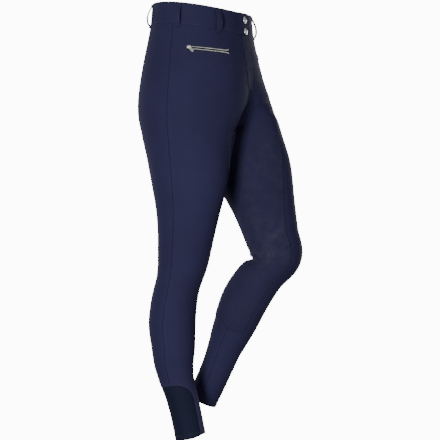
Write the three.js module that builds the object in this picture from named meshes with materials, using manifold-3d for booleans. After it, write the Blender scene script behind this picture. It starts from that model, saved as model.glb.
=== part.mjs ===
// Riding breeches in the shape they have when worn, hollow, with nobody inside.
// Millimetres, +Z up. The wearer faces -Y and the wearer's right is -X.
// The origin is at the middle of the waistband.
//
// One half is described in a rest pose, both legs straight down, with x counted outwards from the
// middle plane. Rows run down the half: row 0 is the waistband's top edge, row 1 the waist seam, row
// FORK the fork and row HEM the hem. A share runs round a front or a back, from 0 at the side seam
// to 1 at the inner edge, which is the front or back middle down to the fork and the inseam below it.
import * as THREE from 'three';
import { mergeVertices } from 'three/addons/utils/BufferGeometryUtils.js';
import Module from 'manifold-3d';

const wasm = await Module();
wasm.setup();

// Cloth thicknesses and the gap at seams
const CLOTH = 1.6;
const BAND_CLOTH = 2.4;
const PATCH_CLOTH = 1.2;
const FLAP_CLOTH = 1.0;
const LOOP_CLOTH = 1.2;
const SEAM_GAP = 0.3;

// Section rows of the trunk, from the waistband's top edge to the fork
const TRUNK_COLUMNS = ['z', 'sideX', 'sideY', 'frontX', 'frontY', 'backX', 'backY',
  'frontEdgeY', 'frontEdgeZ', 'backEdgeY', 'backEdgeZ', 'turn'];
const TRUNK = [
  [25, 131, 2, 6, -107, 12, 104, -107, 25, 104, 25, 0.00],
  [-25, 137, 2, 6, -112, 12, 108, -112, -25, 108, -25, 0.00],
  [-75, 150, 0, 12, -120, 34, 110, -120, -75, 108, -75, 0.00],
  [-130, 163, -2, 26, -127, 54, 114, -126, -130, 109, -130, 0.00],
  [-190, 172, -3, 46, -128, 66, 117, -121, -189, 108, -191, 0.04],
  [-232, 175, -4, 62, -122, 73, 112, -98, -231, 92, -236, 0.14],
  [-256, 174, -5, 69, -116, 76, 105, -54, -256, 50, -258, 0.35],
  [-266, 174, -6, 72, -115, 78, 101, 0, -266, 0, -266, 0.70],
];

// Section rows of a leg, from the fork to the hem
const LEG_COLUMNS = ['z', 'sideX', 'sideY', 'frontX', 'frontY', 'backX', 'backY',
  'edgeX', 'edgeY', 'turn'];
const LEG = [
  [-266, 174, -6, 72, -115, 78, 101, 0, 0, 0.70],
  [-285, 172, -8, 77, -113, 80, 96, 7, -5, 0.95],
  [-320, 167, -9, 81, -109, 82, 86, 12, -9, 1.00],
  [-380, 157, -10, 83, -104, 83, 73, 15, -10, 1.00],
  [-450, 143, -8, 82, -87, 82, 61, 19, -8, 1.00],
  [-520, 136, -3, 80, -70, 80, 57, 24, -3, 1.00],
  [-575, 132, 1, 79, -55, 79, 58, 26, 1, 1.00],
  [-625, 128, 10, 77, -38, 77, 67, 26, 10, 1.00],
  [-700, 127, 16, 76, -35, 76, 74, 25, 16, 1.00],
  [-770, 117, 9, 74, -39, 74, 59, 30, 9, 1.00],
  [-840, 106, 2, 71, -38, 71, 40, 34, 2, 1.00],
  [-900, 101, -3, 68, -39, 68, 33, 35, -3, 1.00],
  [-956, 101, -4, 67, -39, 67, 31, 34, -4, 1.00],
];
const WAIST = 1;
const FORK = TRUNK.length - 1;
const HEM = FORK + LEG.length - 1;
const FORK_Z = TRUNK[FORK][0];

// How the waist line falls in front and rises behind, per millimetre of y and of y squared
const WAIST_SLOPE = 0.105;
const WAIST_BOW = 0.0006;
const WAIST_FADE_ROWS = 3;

// Joint centres of the rest pose, as y and z, and how each leg is held, in degrees
const HIP = { y: 0, z: -165, from: -60, to: -300 };
const KNEE = { y: 2, z: -582, from: -532, to: -632 };
const ANKLE = { y: 4, z: -815, from: -740, to: -860 };
const LEG_AXIS = { x: 85, y: -5 };
const SIDES = [
  { name: 'right', sign: -1, hip: -1.3, knee: 3, ankle: -16, lean: 0, turnOut: 0 },
  { name: 'left', sign: 1, hip: 21.3, knee: 52.5, ankle: -5, lean: -1.5, turnOut: 9 },
];

// The deepest folds: place down the leg and round it, half length round, half width down, slant and depth
const FOLD_COLUMNS = ['side', 'part', 'z', 'share', 'round', 'down', 'slant', 'depth'];
const FOLDS = [
  ['left', 'front', -232, 0.74, 0.18, 17, -40, 2.2],
  ['left', 'back', -584, 0.64, 0.34, 18, 10, 1.2],
  ['right', 'back', -592, 0.55, 0.30, 18, 16, 1.8],
];

// Grid of a panel
const ROW_STEP = 30;
const FORK_ROWS = 2;
const COLUMNS = 8;
const INSEAM_SHARE = 0.95;

// Share at which the patch's front edge runs, from the hip down to the fork and on to the knee
const EDGE_LINE = { hip: 0.5, hipRow: 4, fork: 0.49, knee: 0.74, kneeRow: 13 };

// Stretch panel on the outside of each ankle, under an arched seam
const ARCH = { top: -838, drop: 34, frontShare: 0.40, backShare: 0.62, frontPower: 2, backPower: 3 };
const ARCH_STEPS = [0, 0.009, 0.076, 0.293, 0.617, 1];
const ANKLE_ROWS = 5;

// Inner-leg grip patch: the front column that its front edge follows, its top row at each column of
// the front and of the back, and its bottom row
const PATCH_FIRST_COLUMN = 4;
const PATCH_TOP_FRONT = [6.55, 6.65, 6.95, 7.3, 7.75];
const PATCH_TOP_BACK = [7.8, 7.84, 7.86, 7.86];
const PATCH_FIRST_ROW = 8;
const PATCH_LAST_ROW = 16;
const PATCH_CORNER = 0.25;
const PATCH_TOP_RISE = 1.35;
const PATCH_TOP_STEP = 0.045;
const TOP_ROWS = 1 + FORK_ROWS;

// Waistband ends: the right end laps over the left one and carries the snaps
const TAB = 20;
const UNDERLAP = 15;
const LAP_FLAT = 19;
const LAP_RAMP = 27;
const LAP_RISE = BAND_CLOTH + SEAM_GAP;
const SNAP = { radius: 7.5, height: 3, rows: [0.32, 0.83], distance: 6 };

// Fly flap, as distances from the front middle and rows down
const FLY = { left: -6, right: 20, end: 3.87, corner: 0.36 };

// Belt loops, 12 mm wide: the row and the height above the band, from the top end to the bottom end
const LOOP_WIDTH = 12;
const LOOP_LINE = [
  { row: 0.05, lift: 0.3 },
  { row: 0.13, lift: 0.3 },
  { row: 0.26, lift: 3.4 },
  { row: 0.45, lift: 6.6 },
  { row: 0.68, lift: 8.2 },
  { row: 0.86, lift: 6.9 },
  { row: 0.97, lift: 4.2 },
  { row: 1.04, lift: 0.3 },
  { row: 1.12, lift: 0.3 },
];
const LOOPS = [
  { name: 'front', part: 'front', share: 0.53 },
  { name: 'side', part: 'front', share: 0.065 },
  { name: 'back', part: 'back', share: 0.50 },
];

// Pocket zip: where it starts near the side seam and ends near the front, as rows and shares
const ZIP = {
  start: { row: 2.05, share: 0.17 },
  end: { row: 1.98, share: 0.64 },
  tapeWidth: 11,
  tapeCloth: 0.6,
  teethOffset: 2.6,
  teethSplay: 1.5,
  teethWidth: 2.2,
  teethHeight: 1.3,
  steps: 10,
};
const SLIDER = { length: 10, front: 8.6, back: 6.4, height: 2.8, bridge: 5.2, post: 0.8, bar: 1, gap: 2.2 };
const PULL = { width: 6.6, length: 15, thickness: 1.1, eyeWidth: 4.8, eyeLength: 2.7, axle: 1, hang: 45 };

const COLOURS = {
  cloth: { color: 0x2b2e4c, roughness: 0.85, metalness: 0 },
  patch: { color: 0x2e3044, roughness: 0.95, metalness: 0 },
  stretch: { color: 0x191f2d, roughness: 0.9, metalness: 0 },
  tape: { color: 0x14151f, roughness: 0.9, metalness: 0 },
  metal: { color: 0xb9bcc2, roughness: 0.3, metalness: 1 },
};

function column(names, rows, name) {
  return rows.map((row) => row[names.indexOf(name)]);
}

function smooth(t) {
  const s = THREE.MathUtils.clamp(t, 0, 1);
  return s * s * (3 - 2 * s);
}

// Natural cubic spline through values at 0, 1, 2 and so on
function spline(values) {
  const last = values.length - 1;
  const bend = new Array(last + 1).fill(0);
  const factor = new Array(last + 1).fill(0);
  for (let i = 1; i < last; i += 1) {
    const pull = 6 * (values[i + 1] - 2 * values[i] + values[i - 1]);
    const share = 4 - factor[i - 1];
    factor[i] = 1 / share;
    bend[i] = (pull - bend[i - 1]) / share;
  }
  for (let i = last - 1; i > 0; i -= 1) {
    bend[i] -= factor[i] * bend[i + 1];
  }
  return (at) => {
    const i = THREE.MathUtils.clamp(Math.floor(at), 0, last - 1);
    const b = at - i;
    const a = 1 - b;
    const curve = (a ** 3 - a) * bend[i] + (b ** 3 - b) * bend[i + 1];
    return a * values[i] + b * values[i + 1] + curve / 6;
  };
}

const BODY = {};
for (const name of ['z', 'sideX', 'sideY', 'frontX', 'frontY', 'backX', 'backY']) {
  const legValues = column(LEG_COLUMNS, LEG, name).slice(1);
  BODY[name] = spline([...column(TRUNK_COLUMNS, TRUNK, name), ...legValues]);
}
const TRUNK_EDGE = {};
for (const name of ['frontEdgeY', 'frontEdgeZ', 'backEdgeY', 'backEdgeZ', 'turn']) {
  TRUNK_EDGE[name] = spline(column(TRUNK_COLUMNS, TRUNK, name));
}
const LEG_EDGE = {};
for (const name of ['edgeX', 'edgeY', 'turn']) {
  LEG_EDGE[name] = spline(column(LEG_COLUMNS, LEG, name));
}

// The row whose section lies at height z
function rowAt(z) {
  let low = 0;
  let high = HEM;
  for (let i = 0; i < 40; i += 1) {
    const middle = (low + high) / 2;
    if (BODY.z(middle) > z) {
      low = middle;
    } else {
      high = middle;
    }
  }
  return (low + high) / 2;
}

// Side point, extreme point and inner edge point of one rib, and how far its end turns inwards
function ribEnds(part, row) {
  const z = BODY.z(row);
  const side = new THREE.Vector3(BODY.sideX(row), BODY.sideY(row), z);
  const extreme = new THREE.Vector3(BODY[`${part}X`](row), BODY[`${part}Y`](row), z);
  if (row <= FORK) {
    const edge = new THREE.Vector3(0, TRUNK_EDGE[`${part}EdgeY`](row), TRUNK_EDGE[`${part}EdgeZ`](row));
    return { side, extreme, edge, turn: TRUNK_EDGE.turn(row) };
  }
  const edge = new THREE.Vector3(LEG_EDGE.edgeX(row - FORK), LEG_EDGE.edgeY(row - FORK), z);
  return { side, extreme, edge, turn: LEG_EDGE.turn(row - FORK) };
}

// A quarter of an ellipse is close to a cubic curve with handles of this share of its axes
const QUARTER = 0.56;
const RIB_STEPS = 32;
const ribs = new Map();

// A rib as points and the share of its length at each, from the side seam to the inner edge
function rib(part, row) {
  const key = `${part} ${row}`;
  if (ribs.has(key)) {
    return ribs.get(key);
  }
  const { side, extreme, edge, turn } = ribEnds(part, row);
  const toExtreme = extreme.y - side.y;
  const outer = new THREE.CubicBezierCurve3(
    side,
    side.clone().add(new THREE.Vector3(0, QUARTER * toExtreme, 0)),
    extreme.clone().add(new THREE.Vector3(QUARTER * (side.x - extreme.x), 0, 0)),
    extreme,
  );
  const angle = turn * Math.PI / 2;
  const arrive = new THREE.Vector3(-Math.cos(angle), -Math.sign(toExtreme) * Math.sin(angle), 0);
  const across = (extreme.x - edge.x) * Math.cos(angle) * (1 - 0.6 * turn);
  const along = Math.abs(extreme.y - edge.y) * Math.sin(angle);
  const inner = new THREE.CubicBezierCurve3(
    extreme,
    extreme.clone().add(new THREE.Vector3(-QUARTER * (extreme.x - edge.x), 0, 0)),
    edge.clone().addScaledVector(arrive, -QUARTER * (across + along)),
    edge,
  );
  const points = [...outer.getPoints(RIB_STEPS), ...inner.getPoints(RIB_STEPS).slice(1)];
  const shares = [0];
  for (let i = 1; i < points.length; i += 1) {
    shares.push(shares[i - 1] + points[i].distanceTo(points[i - 1]));
  }
  const length = shares[shares.length - 1];
  const made = { points, shares: shares.map((s) => s / length), length };
  ribs.set(key, made);
  return made;
}

function ribPoint(part, row, share) {
  const { points, shares } = rib(part, row);
  let i = 1;
  while (i < shares.length - 1 && shares[i] < share) {
    i += 1;
  }
  const t = (share - shares[i - 1]) / (shares[i] - shares[i - 1]);
  const point = points[i - 1].clone().lerp(points[i], t);
  const fade = 1 - smooth((row - WAIST) / WAIST_FADE_ROWS);
  point.z += fade * (WAIST_SLOPE * point.y - WAIST_BOW * point.y * point.y);
  return point;
}

// Outward normal of the rest form
function restNormal(part, row, share) {
  const stepRow = 0.2;
  const stepShare = 0.03;
  const down = ribPoint(part, Math.min(row + stepRow, HEM), share);
  down.sub(ribPoint(part, Math.max(row - stepRow, 0), share));
  const round = ribPoint(part, row, Math.min(share + stepShare, 1));
  round.sub(ribPoint(part, row, Math.max(share - stepShare, 0)));
  const normal = round.cross(down).normalize();
  return part === 'front' ? normal : normal.negate();
}

function foldDepth(side, part, row, share) {
  let depth = 0;
  for (const values of FOLDS) {
    const fold = Object.fromEntries(FOLD_COLUMNS.map((name, i) => [name, values[i]]));
    if (fold.side === side.name && fold.part === part) {
      const round = (share - fold.share) / fold.round;
      const down = (BODY.z(row) - fold.z - fold.slant * (share - fold.share)) / fold.down;
      depth += fold.depth * Math.exp(-(round * round) - down * down);
    }
  }
  return depth;
}

// Turns a point about the X axis through a joint, by an angle that grows from one height to another
function bendAt(point, joint, degrees, z) {
  const angle = THREE.MathUtils.degToRad(degrees) * smooth((joint.from - z) / (joint.from - joint.to));
  const y = point.y - joint.y;
  const up = point.z - joint.z;
  point.y = joint.y + y * Math.cos(angle) - up * Math.sin(angle);
  point.z = joint.z + y * Math.sin(angle) + up * Math.cos(angle);
}

const MEAN_HIP = (SIDES[0].hip + SIDES[1].hip) / 2;

// A rest point of one half moved to where the worn leg has it
function pose(rest, side) {
  const point = rest.clone();
  bendAt(point, ANKLE, side.ankle, rest.z);
  bendAt(point, KNEE, side.knee, point.z);
  const own = 1 - (1 - smooth(rest.x / 70)) * (1 - smooth((FORK_Z - rest.z) / 110));
  const turnOut = THREE.MathUtils.degToRad(side.turnOut) * smooth((-230 - rest.z) / 230) * own;
  const x = point.x - LEG_AXIS.x;
  const y = point.y - LEG_AXIS.y;
  point.x = LEG_AXIS.x + x * Math.cos(turnOut) - y * Math.sin(turnOut);
  point.y = LEG_AXIS.y + x * Math.sin(turnOut) + y * Math.cos(turnOut);
  bendAt(point, HIP, -(MEAN_HIP + (side.hip - MEAN_HIP) * own), rest.z);
  const lean = THREE.MathUtils.degToRad(side.lean) * smooth((-150 - rest.z) / 200) * own;
  const out = point.x - LEG_AXIS.x;
  const up = point.z - HIP.z;
  point.x = LEG_AXIS.x + out * Math.cos(lean) + up * Math.sin(lean);
  point.z = HIP.z - out * Math.sin(lean) + up * Math.cos(lean);
  point.x *= side.sign;
  return point;
}

// Near the fork the front stays ahead of the inseam and the back behind it
function keepToOwnSide(rest, part, row, share) {
  rest.x = Math.max(rest.x, 0) + SEAM_GAP / 2;
  if (row > FORK - 1 && share > INSEAM_SHARE) {
    const seam = row > FORK ? LEG_EDGE.edgeY(row - FORK) : 0;
    const gap = SEAM_GAP / 2;
    rest.y = part === 'front' ? Math.min(rest.y, seam - gap) : Math.max(rest.y, seam + gap);
  }
}

// A point of the worn form, moved out by lift
function surface(side, part, row, share, lift = 0) {
  const rest = ribPoint(part, row, share);
  const height = lift - foldDepth(side, part, row, share);
  rest.addScaledVector(restNormal(part, row, share), height);
  keepToOwnSide(rest, part, row, share);
  return pose(rest, side);
}

// The share that lies a distance from the inner edge
function shareFromMiddle(part, row, distance) {
  return 1 - distance / rib(part, row).length;
}

function solid(positions, indices) {
  const geometry = new THREE.BufferGeometry();
  geometry.setAttribute('position', new THREE.Float32BufferAttribute(positions, 3));
  geometry.setIndex(indices);
  return geometry;
}

function signedVolume(positions, indices) {
  const corner = [new THREE.Vector3(), new THREE.Vector3(), new THREE.Vector3()];
  let volume = 0;
  for (let i = 0; i < indices.length; i += 3) {
    corner.forEach((c, k) => c.fromArray(positions, 3 * indices[i + k]));
    volume += corner[0].dot(corner[1].clone().cross(corner[2])) / 6;
  }
  return volume;
}

// A wall of cloth over a grid of points, closed all round its edges. Its squares are split along one
// diagonal up to column turnsAt and along the other from there on.
function wall(rowCount, columnCount, pointAt, inner, outer, turnsAt = columnCount) {
  const positions = [];
  for (const lift of [outer, inner]) {
    for (let i = 0; i < rowCount; i += 1) {
      for (let j = 0; j < columnCount; j += 1) {
        positions.push(...pointAt(i, j, lift).toArray());
      }
    }
  }
  const layer = rowCount * columnCount;
  const indices = [];
  const quad = (a, b, c, d) => indices.push(a, b, c, a, c, d);
  for (let i = 0; i < rowCount - 1; i += 1) {
    for (let j = 0; j < columnCount - 1; j += 1) {
      const a = i * columnCount + j;
      const square = [a, a + columnCount, a + columnCount + 1, a + 1];
      if (j >= turnsAt) {
        square.push(square.shift());
      }
      quad(...square);
      const [first, ...others] = square.map((corner) => corner + layer);
      quad(first, ...others.reverse());
    }
  }
  const rim = [];
  for (let j = 0; j < columnCount; j += 1) {
    rim.push(j);
  }
  for (let i = 1; i < rowCount; i += 1) {
    rim.push(i * columnCount + columnCount - 1);
  }
  for (let j = columnCount - 2; j >= 0; j -= 1) {
    rim.push((rowCount - 1) * columnCount + j);
  }
  for (let i = rowCount - 2; i > 0; i -= 1) {
    rim.push(i * columnCount);
  }
  rim.forEach((a, k) => {
    const b = rim[(k + 1) % rim.length];
    quad(a, b, b + layer, a + layer);
  });
  if (signedVolume(positions, indices) < 0) {
    indices.reverse();
  }
  return solid(positions, indices);
}

function sewn(name, geometry, look) {
  const mesh = new THREE.Mesh(geometry, new THREE.MeshStandardMaterial(COLOURS[look]));
  mesh.name = name;
  return mesh;
}

// The fewest rows of a panel for a row of the table: the fork turns more than its height tells
const leastSteps = (row) => (Math.abs(row - FORK + 1) <= FORK_ROWS - 1 ? FORK_ROWS : 1);

// Rows of a main panel between two rows of the table
function rowsBetween(first, last) {
  const rows = [];
  for (let row = first; row < last; row += 1) {
    const next = Math.min(row + 1, last);
    const steps = Math.max(leastSteps(row), Math.ceil((BODY.z(row) - BODY.z(next)) / ROW_STEP));
    for (let k = 0; k < steps; k += 1) {
      rows.push(row + (next - row) * k / steps);
    }
  }
  return rows;
}

// The arched seam: how far round it is at each step down
function archShare(part, step) {
  const power = ARCH[`${part}Power`];
  return ARCH[`${part}Share`] * (1 - (1 - step) ** power) ** (1 / power);
}

const archRow = (step, below = 0) => rowAt(ARCH.top - step * ARCH.drop - below);
const lowRow = (step, k) => archRow(step) + (HEM - archRow(step)) * k / ANKLE_ROWS;

// Every row of a main panel with the share at which it starts
function mainRows(part) {
  const rows = rowsBetween(WAIST, archRow(0)).map((row) => ({ row, from: 0 }));
  rows[0].row += SEAM_GAP / 2 / (BODY.z(WAIST) - BODY.z(WAIST + 1));
  for (const step of ARCH_STEPS) {
    rows.push({ row: archRow(step), from: archShare(part, step) });
  }
  for (let k = 1; k <= ANKLE_ROWS; k += 1) {
    rows.push({ row: lowRow(1, k), from: archShare(part, 1) });
  }
  return rows;
}

function edgeShare(row) {
  if (row < FORK) {
    return THREE.MathUtils.lerp(EDGE_LINE.hip, EDGE_LINE.fork, smooth((row - EDGE_LINE.hipRow) / (FORK - EDGE_LINE.hipRow)));
  }
  return THREE.MathUtils.lerp(EDGE_LINE.fork, EDGE_LINE.knee, smooth((row - FORK) / (EDGE_LINE.kneeRow - FORK)));
}

// The share of a main panel's column, kept clear of both seams. On a front the columns are spread so
// that one of them runs along the patch's front edge.
function columnShare(part, { row, from }, j) {
  const trim = SEAM_GAP / 2 / rib(part, row).length;
  let t = j / COLUMNS;
  if (part === 'front') {
    const half = PATCH_FIRST_COLUMN / COLUMNS;
    const edge = edgeShare(row);
    t = t < half ? edge * t / half : edge + (1 - edge) * (t - half) / (1 - half);
  }
  return from + trim + (1 - 2 * trim - from) * t;
}

// A point of a front between two of its columns, on the flat between them
function betweenColumns(side, row, at, lift) {
  const [from, to] = [Math.floor(at), Math.ceil(at)].map((j) => columnShare('front', { row, from: 0 }, j));
  return surface(side, 'front', row, from, lift).lerp(surface(side, 'front', row, to, lift), at - Math.floor(at));
}

function mainPanel(side, part) {
  const rows = mainRows(part);
  const pointAt = (i, j, lift) => surface(side, part, rows[i].row, columnShare(part, rows[i], j), lift);
  return sewn(`${part}_${side.name}`, wall(rows.length, COLUMNS + 1, pointAt, -CLOTH, 0), 'cloth');
}

// Ankle stretch panel, one piece from the front across the side to the back
function anklePanel(side) {
  const last = ARCH_STEPS.length - 1;
  const columns = [];
  for (let k = last; k > 0; k -= 1) {
    columns.push({ part: 'front', step: ARCH_STEPS[k] });
  }
  for (let k = 0; k <= last; k += 1) {
    columns.push({ part: 'back', step: ARCH_STEPS[k] });
  }
  const pointAt = (i, j, lift) => {
    const { part, step } = columns[j];
    const top = i === 0 ? archRow(step, SEAM_GAP) : lowRow(step, i);
    const trim = SEAM_GAP / (ARCH[`${part}Share`] * rib(part, top).length);
    return surface(side, part, top, archShare(part, step) * (1 - trim), lift);
  };
  return sewn(`ankle_panel_${side.name}`, wall(ANKLE_ROWS + 1, columns.length, pointAt, -CLOTH, 0), 'stretch');
}

// Grip patch, one piece laid over the inseam on the panels' own points
function innerPatch(side) {
  const columns = [];
  PATCH_TOP_FRONT.forEach((top, k) => columns.push({ part: 'front', j: PATCH_FIRST_COLUMN + k, top }));
  PATCH_TOP_BACK.forEach((top, k) => columns.push({ part: 'back', j: COLUMNS - 1 - k, top }));
  const rows = rowsBetween(PATCH_FIRST_ROW, PATCH_LAST_ROW);
  const half = (columns.length - 1) / 2;
  const rowOf = (i, j) => {
    const { top } = columns[j];
    if (i < TOP_ROWS) {
      return Math.max(i > 0 ? FORK + (i - 1) / FORK_ROWS : top, top + PATCH_TOP_STEP * i);
    }
    if (i < rows.length + TOP_ROWS) {
      return rows[i - TOP_ROWS];
    }
    return PATCH_LAST_ROW - PATCH_CORNER * ((j - half) / half) ** 4;
  };
  const pointAt = (i, j, lift) => {
    const { part, j: at } = columns[j];
    const onRow = (row, height) => surface(side, part, row, columnShare(part, { row, from: 0 }, at), height);
    const row = rowOf(i, j);
    if (i >= TOP_ROWS) {
      return onRow(row, lift);
    }
    const above = Math.floor(row * FORK_ROWS) / FORK_ROWS;
    const below = above + 1 / FORK_ROWS;
    const height = lift + PATCH_TOP_RISE;
    return onRow(above, height).lerp(onRow(below, height), (row - above) / (below - above));
  };
  const outer = SEAM_GAP + PATCH_CLOTH;
  const inseam = PATCH_TOP_FRONT.length - 1;
  const geometry = wall(rows.length + TOP_ROWS + 1, columns.length, pointAt, SEAM_GAP, outer, inseam);
  return sewn(`inner_patch_${side.name}`, geometry, 'patch');
}

// A point of the waist at a distance from the front middle, counted on towards the side's own back
function waistPoint(side, row, distance, lift) {
  const front = rib('front', row).length;
  if (distance < 0) {
    const other = SIDES.find((s) => s !== side);
    return surface(other, 'front', row, shareFromMiddle('front', row, -distance), lift);
  }
  if (distance <= front) {
    return surface(side, 'front', row, shareFromMiddle('front', row, distance), lift);
  }
  return surface(side, 'back', row, (distance - front) / rib('back', row).length, lift);
}

// Half of the waistband, from past the front middle to the back middle
function waistband(side, past, riseAt) {
  const bottom = WAIST - SEAM_GAP / 2 / (BODY.z(0) - BODY.z(WAIST));
  const rows = [0, 0.5, bottom];
  const stations = [-past, -past / 2];
  for (const distance of [0, LAP_FLAT / 2, LAP_FLAT, LAP_RAMP * 0.5 + LAP_FLAT * 0.5, LAP_RAMP]) {
    stations.push(distance);
  }
  const front = COLUMNS - 1;
  const pointAt = (i, j, lift) => {
    const row = rows[i];
    if (j < stations.length) {
      return waistPoint(side, row, stations[j], lift + riseAt(stations[j]));
    }
    const k = j - stations.length + 1;
    const part = k <= front ? 'front' : 'back';
    const share = k <= front ? 1 - k / COLUMNS : (k - COLUMNS) / COLUMNS;
    const trimmed = Math.min(share, 1 - SEAM_GAP / 2 / rib(part, row).length);
    return surface(side, part, row, trimmed, lift + (k === 1 ? riseAt(LAP_RAMP) : 0));
  };
  const columnCount = stations.length + 2 * COLUMNS;
  const geometry = wall(rows.length, columnCount, pointAt, -BAND_CLOTH, 0);
  return sewn(`waistband_${side.name}`, geometry, 'cloth');
}

// The right end rises onto the left one
const lapRise = (distance) => LAP_RISE * (1 - smooth((distance - LAP_FLAT) / (LAP_RAMP - LAP_FLAT)));

// Fly flap over the front middle, with its lower corner rounded on the wearer's right
function flyFlap() {
  const [right, left] = SIDES;
  const rows = rowsBetween(WAIST, 4);
  const columns = [FLY.left, FLY.left / 2, 0, FLY.right / 2, FLY.right];
  const shown = rows.filter((row) => row < FLY.end - FLY.corner);
  shown[0] += SEAM_GAP / (BODY.z(WAIST) - BODY.z(WAIST + 1));
  shown.push(FLY.end);
  const pointAt = (i, j, lift) => {
    const round = (j / (columns.length - 1)) ** 2;
    const row = i === shown.length - 1 ? FLY.end - FLY.corner * 0.9 * round : shown[i];
    const at = COLUMNS * shareFromMiddle('front', row, Math.abs(columns[j]));
    return betweenColumns(columns[j] < 0 ? left : right, row, at, lift);
  };
  const middle = columns.indexOf(0);
  const outer = SEAM_GAP + FLAP_CLOTH;
  const geometry = wall(shown.length, columns.length, pointAt, SEAM_GAP, outer, middle);
  return sewn('fly_flap', geometry, 'cloth');
}

function beltLoop(side, { name, part, share }) {
  const pointAt = (i, j, lift) => {
    const { row, lift: height } = LOOP_LINE[i];
    const half = LOOP_WIDTH / 2 / rib(part, Math.min(row, WAIST)).length;
    return surface(side, part, row, share + half * (j - 1), lift + height);
  };
  const geometry = wall(LOOP_LINE.length, 3, pointAt, 0, LOOP_CLOTH);
  return sewn(`belt_loop_${name}_${side.name}`, geometry, 'cloth');
}

// Places local millimetres on the worn surface: x along, y across, z out
function frameAt(origin, along, out) {
  const x = along.clone().normalize();
  const z = out.clone().addScaledVector(x, -out.dot(x)).normalize();
  const y = z.clone().cross(x);
  return new THREE.Matrix4().makeBasis(x, y, z).setPosition(origin);
}

// Domed snap cap on the lapped band ends
function snap(name, row) {
  const [right] = SIDES;
  const seat = LAP_RISE + SEAM_GAP;
  const origin = waistPoint(right, row, SNAP.distance, seat);
  const along = waistPoint(right, row, SNAP.distance + 4, seat).sub(origin);
  const out = waistPoint(right, row, SNAP.distance, seat + 4).sub(origin);
  const profile = [new THREE.Vector2(0, 0), new THREE.Vector2(SNAP.radius, 0)];
  profile.push(new THREE.Vector2(SNAP.radius, 0.8));
  for (const degrees of [25, 50, 72]) {
    const angle = THREE.MathUtils.degToRad(degrees);
    const height = 0.8 + (SNAP.height - 0.8) * Math.sin(angle);
    profile.push(new THREE.Vector2(SNAP.radius * Math.cos(angle), height));
  }
  profile.push(new THREE.Vector2(0, SNAP.height));
  const geometry = new THREE.LatheGeometry(profile, 20);
  geometry.rotateX(Math.PI / 2);
  const mesh = sewn(name, geometry, 'metal');
  mesh.applyMatrix4(frameAt(origin, along, out));
  return mesh;
}

// A point of the pocket zip: t from its start to its end, across towards the waist, lift off the cloth
function zipPoint(side, t, across, lift) {
  const row = THREE.MathUtils.lerp(ZIP.start.row, ZIP.end.row, t);
  const share = THREE.MathUtils.lerp(ZIP.start.share, ZIP.end.share, t);
  const perRow = surface(side, 'front', row, share).distanceTo(surface(side, 'front', row - 0.05, share));
  return surface(side, 'front', row - 0.05 * across / perRow, share, lift);
}

function zipLength(side) {
  return zipPoint(side, 0, 0, 0).distanceTo(zipPoint(side, 1, 0, 0));
}

function zipStrip(side, from, middleAt, width, inner, outer) {
  const pointAt = (i, j, lift) => {
    const t = THREE.MathUtils.lerp(from, 1, i / ZIP.steps);
    return zipPoint(side, t, middleAt(t) + width * (j - 0.5), lift);
  };
  return wall(ZIP.steps + 1, 2, pointAt, inner, outer);
}

function toManifold(geometry) {
  geometry.deleteAttribute('normal');
  geometry.deleteAttribute('uv');
  const merged = mergeVertices(geometry, 1e-4);
  return new wasm.Manifold(new wasm.Mesh({
    numProp: 3,
    vertProperties: new Float32Array(merged.attributes.position.array),
    triVerts: new Uint32Array(merged.index.array),
  }));
}

function fromManifold(body) {
  const mesh = body.getMesh();
  return solid(Array.from(mesh.vertProperties), Array.from(mesh.triVerts));
}

function plate(outline, depth) {
  const shape = new THREE.Shape(outline.map(([x, y]) => new THREE.Vector2(x, y)));
  return new THREE.ExtrudeGeometry(shape, { depth, bevelEnabled: false });
}

// Slider: a tapered body that carries a narrow bridge for the pull
function sliderGeometry() {
  const half = SLIDER.length / 2;
  const front = SLIDER.front / 2;
  const back = SLIDER.back / 2;
  const body = plate([
    [-half, -back], [half - 2, -front], [half, -front + 2],
    [half, front - 2], [half - 2, front], [-half, back],
  ], SLIDER.height);
  const reach = SLIDER.bridge / 2;
  const top = SLIDER.height + SLIDER.gap;
  const bridge = plate([
    [-reach, SLIDER.height - 0.5], [-reach + SLIDER.post, SLIDER.height - 0.5],
    [-reach + SLIDER.post, top], [reach - SLIDER.post, top],
    [reach - SLIDER.post, SLIDER.height - 0.5], [reach, SLIDER.height - 0.5],
    [reach, top + SLIDER.bar * 0.5], [reach - 0.6, top + SLIDER.bar],
    [-reach + 0.6, top + SLIDER.bar], [-reach, top + SLIDER.bar * 0.5],
  ], SLIDER.bar);
  bridge.rotateX(Math.PI / 2);
  bridge.translate(0, SLIDER.bar / 2, 0);
  return fromManifold(toManifold(body).add(toManifold(bridge)));
}

// Pull tab: lies along its own x, hinged about its own y where its end bar passes under the bridge
function pullGeometry() {
  const w = PULL.width / 2;
  const tip = PULL.length - w;
  const outline = new THREE.Shape();
  outline.moveTo(-PULL.axle / 2, -w);
  outline.lineTo(tip, -w);
  outline.absarc(tip, 0, w, -Math.PI / 2, Math.PI / 2, false);
  outline.lineTo(-PULL.axle / 2, w);
  outline.closePath();
  const eye = new THREE.Path();
  const eyeHalf = PULL.eyeWidth / 2;
  eye.moveTo(PULL.axle / 2, -eyeHalf);
  eye.lineTo(PULL.axle / 2, eyeHalf);
  eye.lineTo(PULL.axle / 2 + PULL.eyeLength, eyeHalf);
  eye.lineTo(PULL.axle / 2 + PULL.eyeLength, -eyeHalf);
  eye.closePath();
  outline.holes.push(eye);
  const geometry = new THREE.ExtrudeGeometry(outline, {
    depth: PULL.thickness, bevelEnabled: false, curveSegments: 8,
  });
  geometry.translate(0, 0, -PULL.thickness / 2);
  return geometry;
}

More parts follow.
